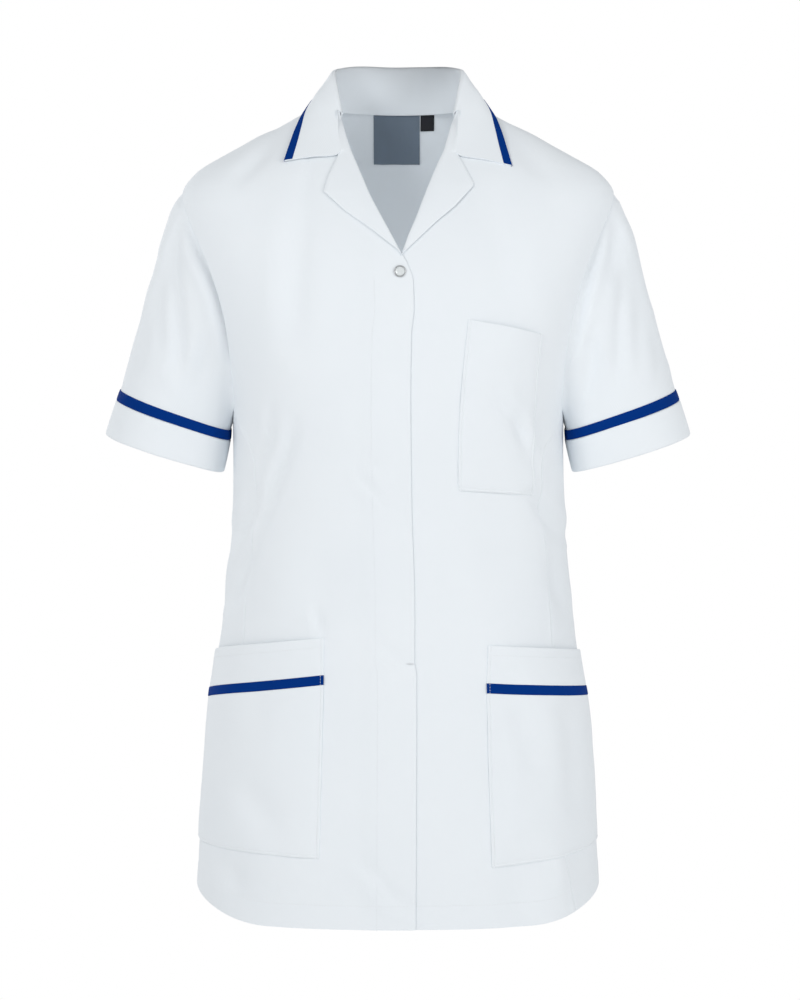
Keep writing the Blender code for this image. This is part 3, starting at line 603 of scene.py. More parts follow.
# Woven polyester tape in royal blue: flat, dense, with diagonal ribs that catch the
# light. Ribs are about 0.6 mm apart in the real one, drawn at 1.0 mm.
tapeLook = {"light": "#003C93", "shade": "#00307D", "angle": 38, "rib": 1.0, "slub": 0.4,
            "fibre": 0.3, "ribTint": 0.30, "ribBump": 0.5, "ribHeight": 0.12,
            "fibreBump": 0.15, "fibreHeight": 0.12, "roughness": 0.8, "specular": 0.05}
# Damask label: a smooth slate-blue satin weave with hardly any rib.
labelLook = {"light": "#7A8795", "shade": "#6A7887", "angle": 0, "rib": 0.7, "slub": 0.2,
             "fibre": 0.3, "ribTint": 0.16, "ribBump": 0.3, "ribHeight": 0.06,
             "fibreBump": 0.15, "fibreHeight": 0.12, "roughness": 0.6, "specular": 0.25}
# Black satin ribbon, the size tab.
tabLook = {"light": "#22232B", "shade": "#1A1B22", "angle": 90, "rib": 0.6, "slub": 0.2,
           "fibre": 0.3, "ribTint": 0.2, "ribBump": 0.3, "ribHeight": 0.05,
           "fibreBump": 0.1, "fibreHeight": 0.12, "roughness": 0.5, "specular": 0.25}


def threadMaterial():
    # spun polyester sewing thread: a soft sheen along twisted plies
    material, tree, shader = newMaterial("whiteSpunThread", {"Roughness": 0.55, "Sheen Weight": 0.15})
    plies = objectNoise(tree, {"Scale": 2500, "Detail": 1})
    tint = blended(tree, "MULTIPLY", 0.12, linear("#EEF1F5"), plies.outputs["Color"])
    tree.links.new(tint, shader.inputs["Base Color"])
    return material


def pearlMaterial():
    # pearlised resin cap: milky, glossy, with a faint cloudy drift of grey and green
    material, tree, shader = newMaterial("pearlResin", {
        "Roughness": 0.18, "IOR": 1.53, "Coat Weight": 0.4, "Coat Roughness": 0.08})
    cloud = objectNoise(tree, {"Scale": 420, "Detail": 3, "Distortion": 1.2})
    tint = blended(tree, "MIX", cloud.outputs["Fac"], linear("#C9D2D4"), linear("#EDEFF0"))
    tree.links.new(tint, shader.inputs["Base Color"])
    return material


def nickelMaterial():
    # nickel-plated brass, pressed and tumbled: bright, with a slightly wavy gloss
    material, tree, shader = newMaterial("nickelPlate", {
        "Base Color": linear("#C4C6C8"), "Metallic": 1.0, "Roughness": 0.28})
    wave = objectNoise(tree, {"Scale": 900, "Detail": 2})
    bumps = addNode(tree, "ShaderNodeBump", None,
                    {"Height": wave.outputs["Fac"], "Strength": 0.1, "Distance": 0.05 * mm})
    tree.links.new(bumps.outputs["Normal"], shader.inputs["Normal"])
    return material


def plainMaterial(name, hexColour):
    return newMaterial(name, {"Base Color": linear(hexColour), "Roughness": 0.9})[0]


# what each kind of piece is made of: its material here and its slot
whiteTwill = (wovenMaterial("whitePolycottonTwill", twillLook), "white_polycotton")
blueTape = (wovenMaterial("royalBlueWovenTape", tapeLook), "royal_blue_tape")
slateDamask = (wovenMaterial("slateDamaskLabel", labelLook), "woven_label")
blackRibbon = (wovenMaterial("blackSatinRibbon", tabLook), "black_tab")
whiteThread = threadMaterial()
pearlResin = (pearlMaterial(), "pearl")
nickelPlate = (nickelMaterial(), "nickel")
print("materials made")


# Body panels

def panelRows(top, topStops=clothForm["topStops"]):
    # heights of a panel's rows down to the hem, close together at both ends
    stops = [top - s for s in topStops]
    ends = [landmarks["hem"] + s for s in clothForm["hemStops"]][::-1]
    count = max(int(abs(stops[-1] - ends[0]) / clothForm["meshStep"]), 1)
    return np.concatenate([stops, np.linspace(stops[-1], ends[0], count + 1)[1:-1], ends])


def panelGrid(z, inner, outer, count, back=False):
    # the grid between a panel's two edges, with each point's distance from them
    length = np.abs(outer - inner) * quarterLength(z, back)
    shares = spacedRow(length, count, clothForm["edgeStops"])
    turn = inner[:, None] + (outer - inner)[:, None] * shares
    return (turn, np.broadcast_to(z[:, None], turn.shape), shares * length[:, None],
            (1 - shares) * length[:, None])


def frontOuterTurn(z):
    onArmhole = turnAtX(z, smoothRead(armholeFront, "x", z))
    onSeam = turnAtX(z, smoothRead(princessSeam, "x", z))
    outer = np.where(z > landmarks["princess"], onArmhole, onSeam)
    return np.where(z >= landmarks["shoulder"], 1.0, outer)


rollForm = {"radiusTop": 1.5, "radiusFoot": 1.2, "radiusEnd": 0.35, "top": -9.0, "foot": -137.0,
            "end": -140.0, "taper": 12.0, "overTop": 4, "pastFoot": 2}


def rollRadius(z):
    share = np.clip((rollForm["top"] - z) / (rollForm["top"] - rollForm["foot"]), 0, 1)
    radius = rollForm["radiusTop"] + (rollForm["radiusFoot"] - rollForm["radiusTop"]) * share
    closing = ease((rollForm["end"] + rollForm["taper"] - z) / rollForm["taper"])
    return radius + (rollForm["radiusEnd"] - radius) * closing


seamForm = {
    "ridge": 0.45, "ridgeAt": 1.7, "ridgeWidth": 1.2,
    "startLift": 4, "startSpan": 8,  # where the princess seam leaves the armhole
    "fadeFrom": -640, "fadeSpan": 20, "quiet": {right: 0.2, left: 0.8},  # behind the pocket and below
    "armholeRidge": 0.5, "armholeAt": -125, "armholeSpan": 42,
    "armholeEdge": 0.3, "armholeEdgeWidth": 0.9,
}
flyForm = {
    "start": 12, "fold": 0.6, "foldWidth": 1.5,  # the folded edge bends down to the front below
    "width": 34, "pucker": 0.3, "puckerWidth": 2.2,  # where the fly's inner layer ends
    "unevenness": 0.8, "shortWave": 5.3, "longWave": 17,
    "tackX": (8, 9.5, 11, 12.5, 14), "tackZ": -498.0, "stitchesFrom": 6,
}
panelForm = {"frontTop": 3.0, "frontColumns": 40, "sideColumns": 10, "backColumns": 92,
             "sideSteps": (0.0, 0.12, 0.3, 0.55, 0.8), "sideReach": 14, "sideTop": 2,
             "sideTopStops": (0, 1.5), "hemStitches": 20}


def fadedBelow(side, z):
    # how much of the princess seam is lost behind the pocket and below it
    return ease((seamForm["fadeFrom"] - z) / seamForm["fadeSpan"]) * (1 - seamForm["quiet"][side])


def frontSeamLift(side, z, nearOuter):
    # the princess seam is a valley beside a pressed ridge; along the armhole only the
    # ridge shows, strongest a third of the way down
    start = landmarks["princess"] + seamForm["startLift"]
    onSeam = ease((start - z) / seamForm["startSpan"])
    onArmhole = 1 - onSeam
    strength = onSeam * (1 - fadedBelow(side, z))
    ridge = bump(nearOuter - seamForm["ridgeAt"], seamForm["ridgeWidth"])
    armhole = seamForm["armholeRidge"] * bump(z - seamForm["armholeAt"], seamForm["armholeSpan"])
    armhole = armhole * onArmhole
    edge = seamForm["armholeEdge"] * bump(nearOuter, seamForm["armholeEdgeWidth"]) * onArmhole
    return ridge * (seamForm["ridge"] * strength + armhole) - seamValley(nearOuter) * strength - edge


def flyLift(z, nearInner):
    # the fly's folded edge, and the soft pucker where its inner layer ends
    ripple = np.sin(z / flyForm["shortWave"]) * np.sin(z / flyForm["longWave"] + 1)
    pucker = flyForm["pucker"] * (1 + flyForm["unevenness"] * ripple)
    fold = flyForm["fold"] * bump(nearInner, flyForm["foldWidth"])
    inner = pucker * bump(nearInner - flyForm["width"], flyForm["puckerWidth"])
    return -(fold + inner) * ease((rollForm["foot"] - z) / flyForm["start"])


def keepHemStitches(points, rows):
    above = landmarks["hem"] + panelForm["hemStitches"]
    keepRow(points, int(np.argmin(np.abs(rows - above))), stitchRuns)


def keepFlyStitches(points, rows, nearInner):
    # along the end of the fly's inner layer, between the columns of the front's grid
    every = np.arange(len(rows))
    column = np.argmin(np.abs(nearInner - flyForm["width"]), axis=1)
    past = (flyForm["width"] - nearInner[every, column])[:, None]
    line = points[every, column] + unit(np.gradient(points, axis=1)[every, column]) * past
    below = int(np.argmin(np.abs(rows - rollForm["foot"]))) + flyForm["stitchesFrom"]
    keepRun(stitchRuns, line[below:], gridNormals(points)[every, column][below:])
    z, reach = flyForm["tackZ"], np.array(flyForm["tackX"], float)
    normal = bodyNormal(turnAtX(z, reach[0]), np.array(z, float), left)
    lift = clothForm["surface"] + clothForm["lap"] + threadForm["tackLift"]
    tack = bodyPoint(turnAtX(z, reach), z, left) + normal * lift
    keepRun(tackRuns, tack, np.tile(normal, (len(tack), 1)), True)


def makeFront(side):
    rows = panelRows(panelForm["frontTop"])
    edge = smoothRead(frontEdges[side], "x", rows)
    onRoll = ((rows < rollForm["top"] + rollForm["overTop"])
              & (rows > rollForm["foot"] - rollForm["pastFoot"]))
    edge = edge + np.where(onRoll, rollRadius(rows), 0)
    turn, z, nearInner, nearOuter = panelGrid(rows, turnAtX(rows, edge), frontOuterTurn(rows),
                                              panelForm["frontColumns"])
    lift = frontSeamLift(side, z, nearOuter) + hemLift(z)
    if side == right:
        lift = lift + flyLift(z, nearInner)
    points = clothFace(turn, hemHeight(turn, z), side, lift, lapped=True)
    keepHemStitches(points, rows)
    if side == right:
        keepFlyStitches(points, rows, nearInner)
    clothPiece("front", points, whiteTwill, "front", side)


def makeSideFront(side):
    top, foot = landmarks["princess"], landmarks["underarm"]
    rows = panelRows(foot - panelForm["sideTop"], panelForm["sideTopStops"])
    inner = turnAtX(rows, smoothRead(princessSeam, "x", rows))
    turn, z, nearInner, nearOuter = panelGrid(rows, inner, np.ones(len(rows)),
                                              panelForm["sideColumns"])
    lift = -seamValley(nearInner) * (1 - fadedBelow(side, z)) - seamValley(nearOuter)
    lower = clothFace(turn, hemHeight(turn, z), side, lift + hemLift(z))
    # above the underarm the piece runs up to the slanting foot of the armhole
    shares = (turn[0] - turn[0, 0]) / (turn[0, -1] - turn[0, 0])
    startTurn = turnAtX(top, armholeFront["x"][-1])
    topTurn = startTurn + (1 - startTurn) * shares
    topZ = top + (foot - top) * shares
    upper = []
    for step in panelForm["sideSteps"]:
        rowTurn = topTurn + (turn[0] - topTurn) * step
        rowZ = topZ + (rows[0] - topZ) * step
        sunk = lift[0] - seamValley(step * panelForm["sideReach"])
        upper.append(clothFace(rowTurn, rowZ, side, sunk))
    points = np.concatenate([np.array(upper), lower])
    clothPiece("sideFront", points, whiteTwill, "side_front", side)


def makeBack():
    rows = panelRows(landmarks["neck"])
    inArmhole = (rows < landmarks["shoulder"]) & (rows > landmarks["underarm"])
    outer = np.where(inArmhole, turnAtY(rows, smoothRead(armholeBack, "y", rows)), 1.0)
    turn, z, nearLeft, nearRight = panelGrid(rows, outer, 4 - outer, panelForm["backColumns"],
                                             back=True)
    lift = hemLift(z) - seamValley(nearLeft) - seamValley(nearRight)
    points = clothFace(turn, hemHeight(turn, z), left, lift)
    keepHemStitches(points, rows)
    clothPiece("backPanel", points, whiteTwill, "back")


makeBack()
for side in (right, left):
    makeFront(side)
    makeSideFront(side)
print("body panels made")


# Sleeves and cuffs

sleeveForm = {
    "columns": 144, "rows": 46, "firstRow": 0.07, "topRows": (0, 0.006, 0.014, 0.026, 0.044),
    "trimRows": (0.5, 1.0), "trimReach": 0.04, "armholeRows": 120, "footRows": 14,
    "spread": 0.55, "pull": 0.45, "end": (0.29, 0.10, -0.95), "clearOut": -1.3, "clearIn": 0.3,
    "sunk": 1.0, "sunkWidth": 2.2,  # it starts under the armhole's edge and comes up level with it
    "settle": 0.86,  # from here on the creases fade into the sewn trim
    "swell": 70, "swellHeight": 0.45, "swellFrom": 14,
    "slim": 2.4, "slimAt": -158, "slimSpan": 48, "slimFrom": 185, "slimFade": 30,
    "middle": (200, 12, -200),
}
cuffRings = {  # x, y, z, half width, half depth, tilt in degrees
    "trimTop": (205.2, 12.0, -272.4, 52.2, 55.6, 19.05),
    "trimFoot": (207.2, 12.8, -281.2, 53.4, 56.0, 18.3),
    "cuffFoot": (215.6, 16.0, -312.0, 54.6, 56.5, 16.7),
}
cuffForm = {
    "lean": 0.08, "thickness": 2.0, "swell": 60, "swellHeight": 0.3,
    "inward": 0.1,  # how far the side next to the body draws in towards the back
    "inner": 3.6, "outer": 2.1,  # squareness of the half next to the body, and the other
    "tapeLift": 0.25, "tapeThickness": 0.5,
    "tapeProfile": ((-0.02, 0.25), (0.06, 0.62), (0.18, 0.72), (0.5, 0.76), (0.82, 0.72),
                    (0.94, 0.62), (1.02, 0.25)),  # share of the way down, how far out
    "profile": ((0.005, -0.5), (0.012, 0.35), (0.03, 0.85), (0.07, 1.05), (0.2, 1.15), (0.4, 1.2),
                (0.6, 1.2), (0.8, 1.2), (0.93, 1.15), (0.97, 1.0), (0.99, 0.75), (1.0, 0.3)),
}


def cuffLoop(ring, side, lift=0.0):
    x, y, z, halfWidth, halfDepth, tilt = ring
    tilt = math.radians(tilt)
    outward = np.array((side * math.cos(tilt), 0, math.sin(tilt)))
    forward = np.array((0, -1, -cuffForm["lean"]))
    angles = np.linspace(0, 2 * math.pi, sleeveForm["columns"], endpoint=False)[:, None]
    cosine, sine = np.cos(angles), np.sin(angles)
    power = 2 / np.where(cosine < 0, cuffForm["inner"], cuffForm["outer"])
    across = np.sign(cosine) * np.abs(cosine) ** power
    along = np.sign(sine) * np.abs(sine) ** power
    across = np.where(across < 0, across * (1 + cuffForm["inward"] * along), across)
    return (np.array((side * x, y, z)) + outward * (halfWidth + lift) * across
            + forward * (halfDepth + lift) * along)


def cuffBand(first, second, profile, side, lift):
    # loops at shares of the way between two rings, each that much further out
    loops = []
    for share, out in profile:
        ring = [a + (b - a) * share for a, b in zip(cuffRings[first], cuffRings[second])]
        loops.append(cuffLoop(ring, side, lift + out))
    return np.array(loops)


def resampled(points, count):
    steps = np.linalg.norm(np.diff(points, axis=0), axis=1)
    along = np.concatenate([[0], np.cumsum(steps)])
    stops = np.linspace(0, along[-1], count + 1)
    return np.stack([np.interp(stops, along, points[:, axis]) for axis in range(3)], axis=1)


def armholeLoop(side):
    top, princess, foot = (landmarks[key] for key in ("shoulder", "princess", "underarm"))
    z = np.linspace(top, princess, sleeveForm["armholeRows"])
    front = bodyPoint(turnAtX(z, smoothRead(armholeFront, "x", z)), z, side)
    share = np.linspace(0, 1, sleeveForm["footRows"])[1:]
    lastTurn = turnAtX(princess, armholeFront["x"][-1])
    under = bodyPoint(lastTurn + (1 - lastTurn) * share, princess + (foot - princess) * share, side)
    z = np.linspace(foot, top, sleeveForm["armholeRows"])
    back = bodyPoint(turnAtY(z, smoothRead(armholeBack, "y", z)), z, side)
    half = sleeveForm["columns"] // 2
    return np.concatenate([resampled(np.concatenate([front, under]), half)[:-1],
                           resampled(back, half)[:-1]])


def tubeNormals(points):
    closed = np.concatenate([points[:, -1:], points, points[:, :1]], axis=1)
    away = unit(np.cross(closed[:, 2:] - closed[:, :-2], np.gradient(points, axis=0)))
    fromMiddle = points - points.mean(axis=1, keepdims=True)
    outward = np.sum(away * fromMiddle, axis=-1, keepdims=True) > 0
    return np.where(outward, away, -away)


def sleeveGrid(side):
    form = sleeveForm
    loop = armholeLoop(side)
    centre = loop.mean(axis=0)
    ends = cuffLoop(cuffRings["trimTop"], side)
    out = np.array((side, 0, 0), float)
    last = np.array(form["end"]) * (side, 1, 1)
    start = loop + out * form["clearOut"] + unit(centre - loop) * form["clearIn"]
    reach = np.linalg.norm(ends - start, axis=1, keepdims=True)
    first = (ends - start) * (1 - form["spread"]) + out * reach * form["spread"]
    stops = np.concatenate([form["topRows"], np.linspace(form["firstRow"], 1, form["rows"])])
    rows = [hermite(start, ends, first * form["pull"], last * reach, t) for t in stops]
    trim = cuffBand("trimTop", "trimFoot", [(share, 0) for share in form["trimRows"]], side, 0)
    points = np.concatenate([rows, trim])
    stops = np.concatenate([stops, 1 + form["trimReach"] * np.array(form["trimRows"])])
    distance = stops[:, None] * reach[:, 0][None, :]
    settle = 1 - ease((stops - form["settle"]) / (1 - form["settle"]))[:, None]
    swell = unevenness(points, form["swell"], form["swellHeight"]) * ease(distance / form["swellFrom"])
    lift = clothForm["surface"] - form["sunk"] * bump(distance, form["sunkWidth"])
    lift = lift + (swell - creaseDepth(points, "sleeve")) * settle
    slim = bump(points[..., 2] - form["slimAt"], form["slimSpan"])
    beyond = ease((np.abs(points[..., 0]) - form["slimFrom"]) / form["slimFade"])
    lift = lift - form["slim"] * slim * beyond
    return points + tubeNormals(points) * lift[..., None]


def makeSleeve(side):
    x, y, z = sleeveForm["middle"]
    centre = Vector((side * x, y, z)) * mm
    tube = {"closed": True, "outward": lambda place, normal: awayFromAxis(place - centre, normal)}
    surface = clothForm["surface"]
    clothPiece("sleeve", sleeveGrid(side), whiteTwill, "sleeve", side, **tube)
    tape = cuffBand("trimTop", "trimFoot", cuffForm["tapeProfile"], side,
                    surface + cuffForm["tapeLift"])
    clothPiece("cuffTape", tape, blueTape, "cuff_trim", side, thickness=cuffForm["tapeThickness"],
               bevel=0, **tube)
    cuff = cuffBand("trimFoot", "cuffFoot", cuffForm["profile"], side, surface)
    swell = unevenness(cuff, cuffForm["swell"], cuffForm["swellHeight"])
    cuff = cuff + tubeNormals(cuff) * swell[..., None]
    clothPiece("cuff", cuff, whiteTwill, "cuff", side, thickness=cuffForm["thickness"], **tube)


for side in (right, left):
    makeSleeve(side)
print("sleeves and cuffs made")


# Collar

collarForm = {  # from the centre back to the front end: seam, fold, middle of the fall, edge
    "stations": (
        ((0, 59, 5.6), (0, 49, 44.4), (0, 63, 21), (0, 73, -9)),
        ((37, 49, 5.6), (32.5, 39.5, 44), (43, 54.5, 21), (54, 61, -7)),
        ((59, 26, 5.6), (53.5, 19, 40.5), (66.5, 28, 22), (76.5, 34, 1)),
        ((65, 3, 5), (59.5, -3, 34.2), (70, 0, 21.5), (80, 2, 5.2)),
        ((58, -16, 0.2), (56.3, -21, 15), (73, -23, 3.5), (90.5, -25, -13)),
    ),
    "ends": {  # the last station, which differs a little between the sides
        right: ((51.6, -28, -6.6), (52.6, -31.5, -4), (52.8, -59.6, -44.6), (101.8, -59.5, -51.2)),
        left: ((51.6, -28, -6.6), (52.6, -31.5, -4), (52.8, -59.6, -44.6), (101.8, -62.5, -55.8)),
    },
    "steps": 14, "endSteps": 18, "endStops": (0.06, 0.035, 0.015, 0),
    "across": ((0, 1.8, 12), (1.9, 4.1, 17), (4.3, 7.6, 22), (7.66, 8, 7)),  # from, to, columns
    "thickness": 1.3, "bevel": 0.3, "fold": 2.2, "foldDrop": 1.6, "fallTop": 30,
    "swell": 45, "swellHeight": 0.25,
    "seamLap": 3.2,  # how far the stand reaches down inside the neck edge
    # the tape lies along the edge of the fall and wraps a little way under it
    "tape": ((7.2, 0.02), (7.0, 0.42), (5.6, 0.5), (3.2, 0.52), (1.0, 0.5), (0.1, 0.42),
             (-0.45, 0.1), (-0.6, -0.7), (-0.35, -1.5), (0.6, -1.75)),
    "tapeThickness": 0.35, "tapeColumn": -6,
}
collarEnd = float(len(collarForm["stations"]))
foldAcross = 3.0


def throughPoints(values, t):
    # a smooth curve through evenly spaced values
    values = np.asarray(values, float)
    low = np.clip(np.asarray(t, float).astype(int), 0, len(values) - 2)
    share = np.asarray(t, float) - low
    slopes = np.gradient(values, axis=0)
    share = share.reshape(share.shape + (1,) * (values.ndim - 1))
    return hermite(values[low], values[low + 1], slopes[low], slopes[low + 1], share)


def collarSheet(side, along, across):
    # the collar's middle surface: along runs from the back to the front end,
    # across from the seam (0) over the fold (3) to the edge of the fall (8)
    stations = collarForm["stations"] + (collarForm["ends"][side],)
    # a mirrored station before the first one keeps the collar smooth across the centre back
    before = tuple((-x, y, z) for x, y, z in stations[1])
    stations, along = (before,) + stations, along + 1
    seam, fold, middle, edge = (throughPoints([s[k] for s in stations], along) for k in range(4))
    out = unit((edge - seam) * (1, 1, 0))
    drop = np.array((0, 0, -collarForm["foldDrop"]))
    inner = fold - out * collarForm["fold"] + drop
    outer = fold + out * collarForm["fold"] + drop
    seam = seam - np.array((0, 0, collarForm["seamLap"]))
    guide = np.stack([seam, (seam + inner) / 2, inner, fold, outer,
                      (outer + middle) / 2, middle, (middle + edge) / 2, edge])
    return throughPoints(guide, across).transpose(1, 0, 2) * np.array((side, 1, 1))


def halfCollar(side):
    last, steps, stops = int(collarEnd), collarForm["steps"], np.array(collarForm["endStops"])
    along = np.concatenate([np.linspace(0, last - 1, (last - 1) * steps + 1)[:-1],
                            np.linspace(last - 1, last - stops[0], collarForm["endSteps"]),
                            last - stops[1:]])
    across = np.concatenate([np.linspace(*part) for part in collarForm["across"]])
    return collarSheet(side, along, across)


def makeCollar():
    grid = np.concatenate([halfCollar(right)[:0:-1], halfCollar(left)])
    away = unit(np.cross(np.gradient(grid, axis=1), np.gradient(grid, axis=0)))
    if np.sum(away[:, -1] * (grid[:, -1] - grid[:, 0])) < 0:
        away = -away
    swell = unevenness(grid, collarForm["swell"], collarForm["swellHeight"])
    grid = grid + away * swell[..., None]
    clothPiece("collarFolded", grid, whiteTwill, "collar", thickness=collarForm["thickness"],
               offset=0.0, bevel=collarForm["bevel"],
               outward=lambda place, normal: normal.z if place.z < collarForm["fallTop"] * mm else 0)
    edge = grid[:, -1]
    run = unit(edge - grid[:, collarForm["tapeColumn"]])
    lift = collarForm["thickness"] / 2
    tape = [edge - run * back + away[:, -1] * (lift + out) for back, out in collarForm["tape"]]
    clothPiece("collarTape", np.stack(tape, axis=1), blueTape, "collar_trim", bevel=0,
               thickness=collarForm["tapeThickness"], outward=lambda place, normal: normal.z)


makeCollar()
print("collar made")


# Lapels

lapelEdges = {
    right: {"z": (-13, -31, -44.6, -48.5, -67, -81.5, -98.6, -111.4, -122.4, -133, -140),
            "x": (53.9, 53.4, 52.8, 53.9, 61.9, 66, 48, 30.5, 16.8, 3.2, -4.2)},
    left: {"z": (-13, -31, -44.6, -52.2, -73.5, -76.5, -95, -108.7, -122.3, -133, -140),
           "x": (53.9, 53.4, 52.4, 56.4, 67, 66.9, 50.6, 34.6, 20.3, 9.5, 2.4)},
}
lapelForm = {
    "thickness": 0.95, "columns": 26, "rollColumns": 9, "rows": 68,
    "evenTo": 0.9, "edgeStops": (0.94, 0.97, 0.985, 1.0), "probe": 0.01,
    "least": 0.8, "leastWidth": 0.6,  # where it narrows to nothing at its foot
    "puff": 1.6, "puffPower": 0.8, "puffWidth": 40, "leastPuff": 0.15,
    "clear": 0.15, "rest": 0.7, "settle": 1.6,  # how it comes down from its roll and lies on the front
    "edgeDrop": 0.35, "edgeWidth": 0.9, "rib": 0.12, "ribIn": 2.5, "ribWidth": 1.6,
    "notch": -44.6, "joinFrom": 1.5, "joinSpan": 4, "under": 1.6, "sink": 0.42,
    "gorge": (3.4, 6),  # how much of the collar's front end the lapel is sewn to
    "tuckSize": 0.55, "tuck": (0.2, 0.6, 0.2), "tuckStops": (1.1, 0.75, 0.4),
}


def cornered(table, at):
    # straight lines between the rows, as a lapel's edge is cut
    order = np.argsort(table["z"])
    return np.interp(at, np.array(table["z"], float)[order], np.array(table["x"], float)[order])


def gorgeAt(side, heights):
    # the collar's front end between its fold and the notch, where the lapel is sewn to it
    line = collarSheet(side, np.array([collarEnd]), np.linspace(*lapelForm["gorge"], 40))[0][::-1]
    return np.stack([np.interp(heights, line[:, 2], line[:, axis]) for axis in range(3)], axis=1)


def lapelRoll(side, rows, turn, radius):
    # the half round that turns the facing out over the front, and the height it ends at
    base, away = bodyPoint(turn, rows, side), bodyNormal(turn, rows, side)
    opening = unit(bodyPoint(turn - lapelForm["probe"], rows, side) - base)
    inside = clothForm["surface"] - clothForm["thickness"]  # the front's inner face
    lap = lapLift(base[:, 0], side)
    points = []
    for angle in np.linspace(-math.pi / 2, math.pi / 2, lapelForm["rollColumns"]):
        out = inside + lap + radius * (1 + math.sin(angle))
        points.append(base + away * out[:, None] + opening * (radius * math.cos(angle))[:, None])
    return points, inside + 2 * radius


def joinToCollar(side, grid, rows, shares):
    # above the notch the outer edge is sewn to the collar and passes just under its face
    form = lapelForm
    joined = ease((rows - form["notch"] + form["joinFrom"]) / form["joinSpan"])[:, None]
    gorge = gorgeAt(side, rows) + np.array((side * form["under"], -form["sink"], 0)) * joined
    across = np.zeros(grid.shape[1])
    across[-len(shares):] = ease(shares)
    grid = grid + (joined * (gorge - grid[:, -1]))[:, None, :] * across[None, :, None]
    # above its top row the roll runs on, narrowing, into the end of the collar's fold
    foldEnd = collarSheet(side, np.array([collarEnd]), np.array([foldAcross]))[0, 0]
    rollTop = grid[0, form["rollColumns"] // 2]
    tucked = foldEnd + (grid[0] - rollTop) * form["tuckSize"] + np.array(form["tuck"]) * (side, 1, 1)
    above = [grid[0] + (tucked - grid[0]) * share for share in form["tuckStops"]]
    return np.concatenate([above, grid])


def makeLapel(side):
    form, table = lapelForm, lapelEdges[side]
    heights = np.linspace(table["z"][0], rollForm["end"], form["rows"])
    rows = np.unique(np.concatenate([table["z"], heights]))[::-1]
    radius = rollRadius(rows)
    edge = smoothRead(frontEdges[side], "x", rows) + radius
    inner = turnAtX(rows, edge)
    outer = turnAtX(rows, np.maximum(cornered(table, rows), edge + form["least"]))
    width = np.maximum((outer - inner) * quarterLength(rows), form["leastWidth"])
    points, rollTop = lapelRoll(side, rows, inner, radius)
    restLift = clothForm["surface"] + form["thickness"] + form["clear"]
    shares = np.concatenate([np.linspace(0, form["evenTo"], form["columns"])[1:], form["edgeStops"]])
    fullness = form["puff"] * np.clip(width / form["puffWidth"], form["leastPuff"], 1)
    for share in shares:
        turn = inner + (outer - inner) * share
        lift = rollTop + (restLift - rollTop) * ease(share * form["settle"]) + form["rest"] * share
        lift = lift + fullness * math.sin(math.pi * share ** form["puffPower"]) ** form["puffPower"]
        toEdge = (1 - share) * width
        lift = lift - form["edgeDrop"] * bump(toEdge, form["edgeWidth"])
        lift = lift + form["rib"] * bump(toEdge - form["ribIn"], form["ribWidth"])
        point = bodyPoint(turn, rows, side)
        out = lift + lapLift(point[:, 0], side) - creaseDepth(point, "front")
        points.append(point + bodyNormal(turn, rows, side) * out[:, None])
    grid = joinToCollar(side, np.stack(points, axis=1), rows, shares)
    clothPiece("lapel", grid, whiteTwill, "lapel", side, thickness=form["thickness"],
               outward=facingFront)


for side in (right, left):
    makeLapel(side)
print("lapels made")


# Pockets

pocketForm = {
    "proud": 1.7, "thickness": 0.9, "stops": (0, 0.4, 0.9, 1.6, 2.3, 2.8, 3.3, 4.2),
    "creases": 0.85, "swell": 38, "swellHeight": 0.18,  # it follows most of the front's creases
    "edgeDrop": 0.55, "edgeWidth": 1.0, "lowEdge": 0.35, "lowFrom": 3, "lowSpan": 12,
    "stitchIn": 2.8, "stitchGroove": 0.3, "rib": 0.2, "ribIn": 1.5, "ribWidth": 0.6,
}
chestPocket = {
    "lines": ((61.6, -196, 126.6, -208), (57.5, -232, 123.8, -240), (54.4, -270, 121.2, -277),
              (52.8, -310, 119.8, -316), (52.8, -346, 120, -351)),  # inner x, inner z, outer x, outer z
    "tall": 150, "rows": 34, "columns": 15, "topStops": (0, 0.4, 0.9, 1.6, 2.6, 4),
    "gape": 2.2, "gapePower": 1.5, "gapeDepth": 26,  # its open edge stands off the front
    "crease": 1.1, "creaseAcross": 0.78, "creaseLean": 0.10, "creaseWidth": 0.07,
    "creaseDown": 0.58, "creaseLength": 0.2,
}
hipPockets = {  # band top, tape top, tape foot, pocket foot: inner x, inner z, outer z, bow
    right: {"bandTop": (64.6, -475.6, -495, 3.0), "tapeTop": (64.8, -508.4, -530.2, 1.6),
            "tapeFoot": (64.9, -517, -538.5, 1.4), "foot": (68.7, -669.6, -664, 0.3)},
    left: {"bandTop": (79, -482.8, -495, 3.0), "tapeTop": (77.4, -515.9, -527.8, 1.6),
           "tapeFoot": (77.6, -524.7, -536.3, 1.4), "foot": (82.4, -678.3, -664.6, 0.3)},
}
hipStrips = {  # drops: how far the top and the foot are turned in, over what width
    "band": {"from": "bandTop", "to": "tapeTop", "tall": 33, "rows": 10, "proud": 0.0,
             "stops": ((0, 0.4, 0.9, 1.6, 3), (0, 0.4, 1.2)), "drops": (0.4, 0.0, 0.8)},
    "tape": {"from": "tapeTop", "to": "tapeFoot", "tall": 8.6, "rows": 3, "proud": 0.45,
             "stops": ((0, 0.3, 0.8), (0, 0.3, 0.8)), "drops": (0.3, 0.3, 0.5)},
    "pocket": {"from": "tapeFoot", "to": "foot", "tall": 150, "rows": 34, "proud": 0.0,
               "stops": ((0, 0.4, 1.2), pocketForm["stops"]), "drops": (0.0, 0.0, 1.0)},
}
hipForm = {"outerTurn": 0.985, "columns": 26, "bowPower": 0.75, "bandThickness": 1.3,
           "tapeThickness": 1.2, "tapeBevel": 0.15, "bandStitches": 6, "tackRows": (-12, -14)}
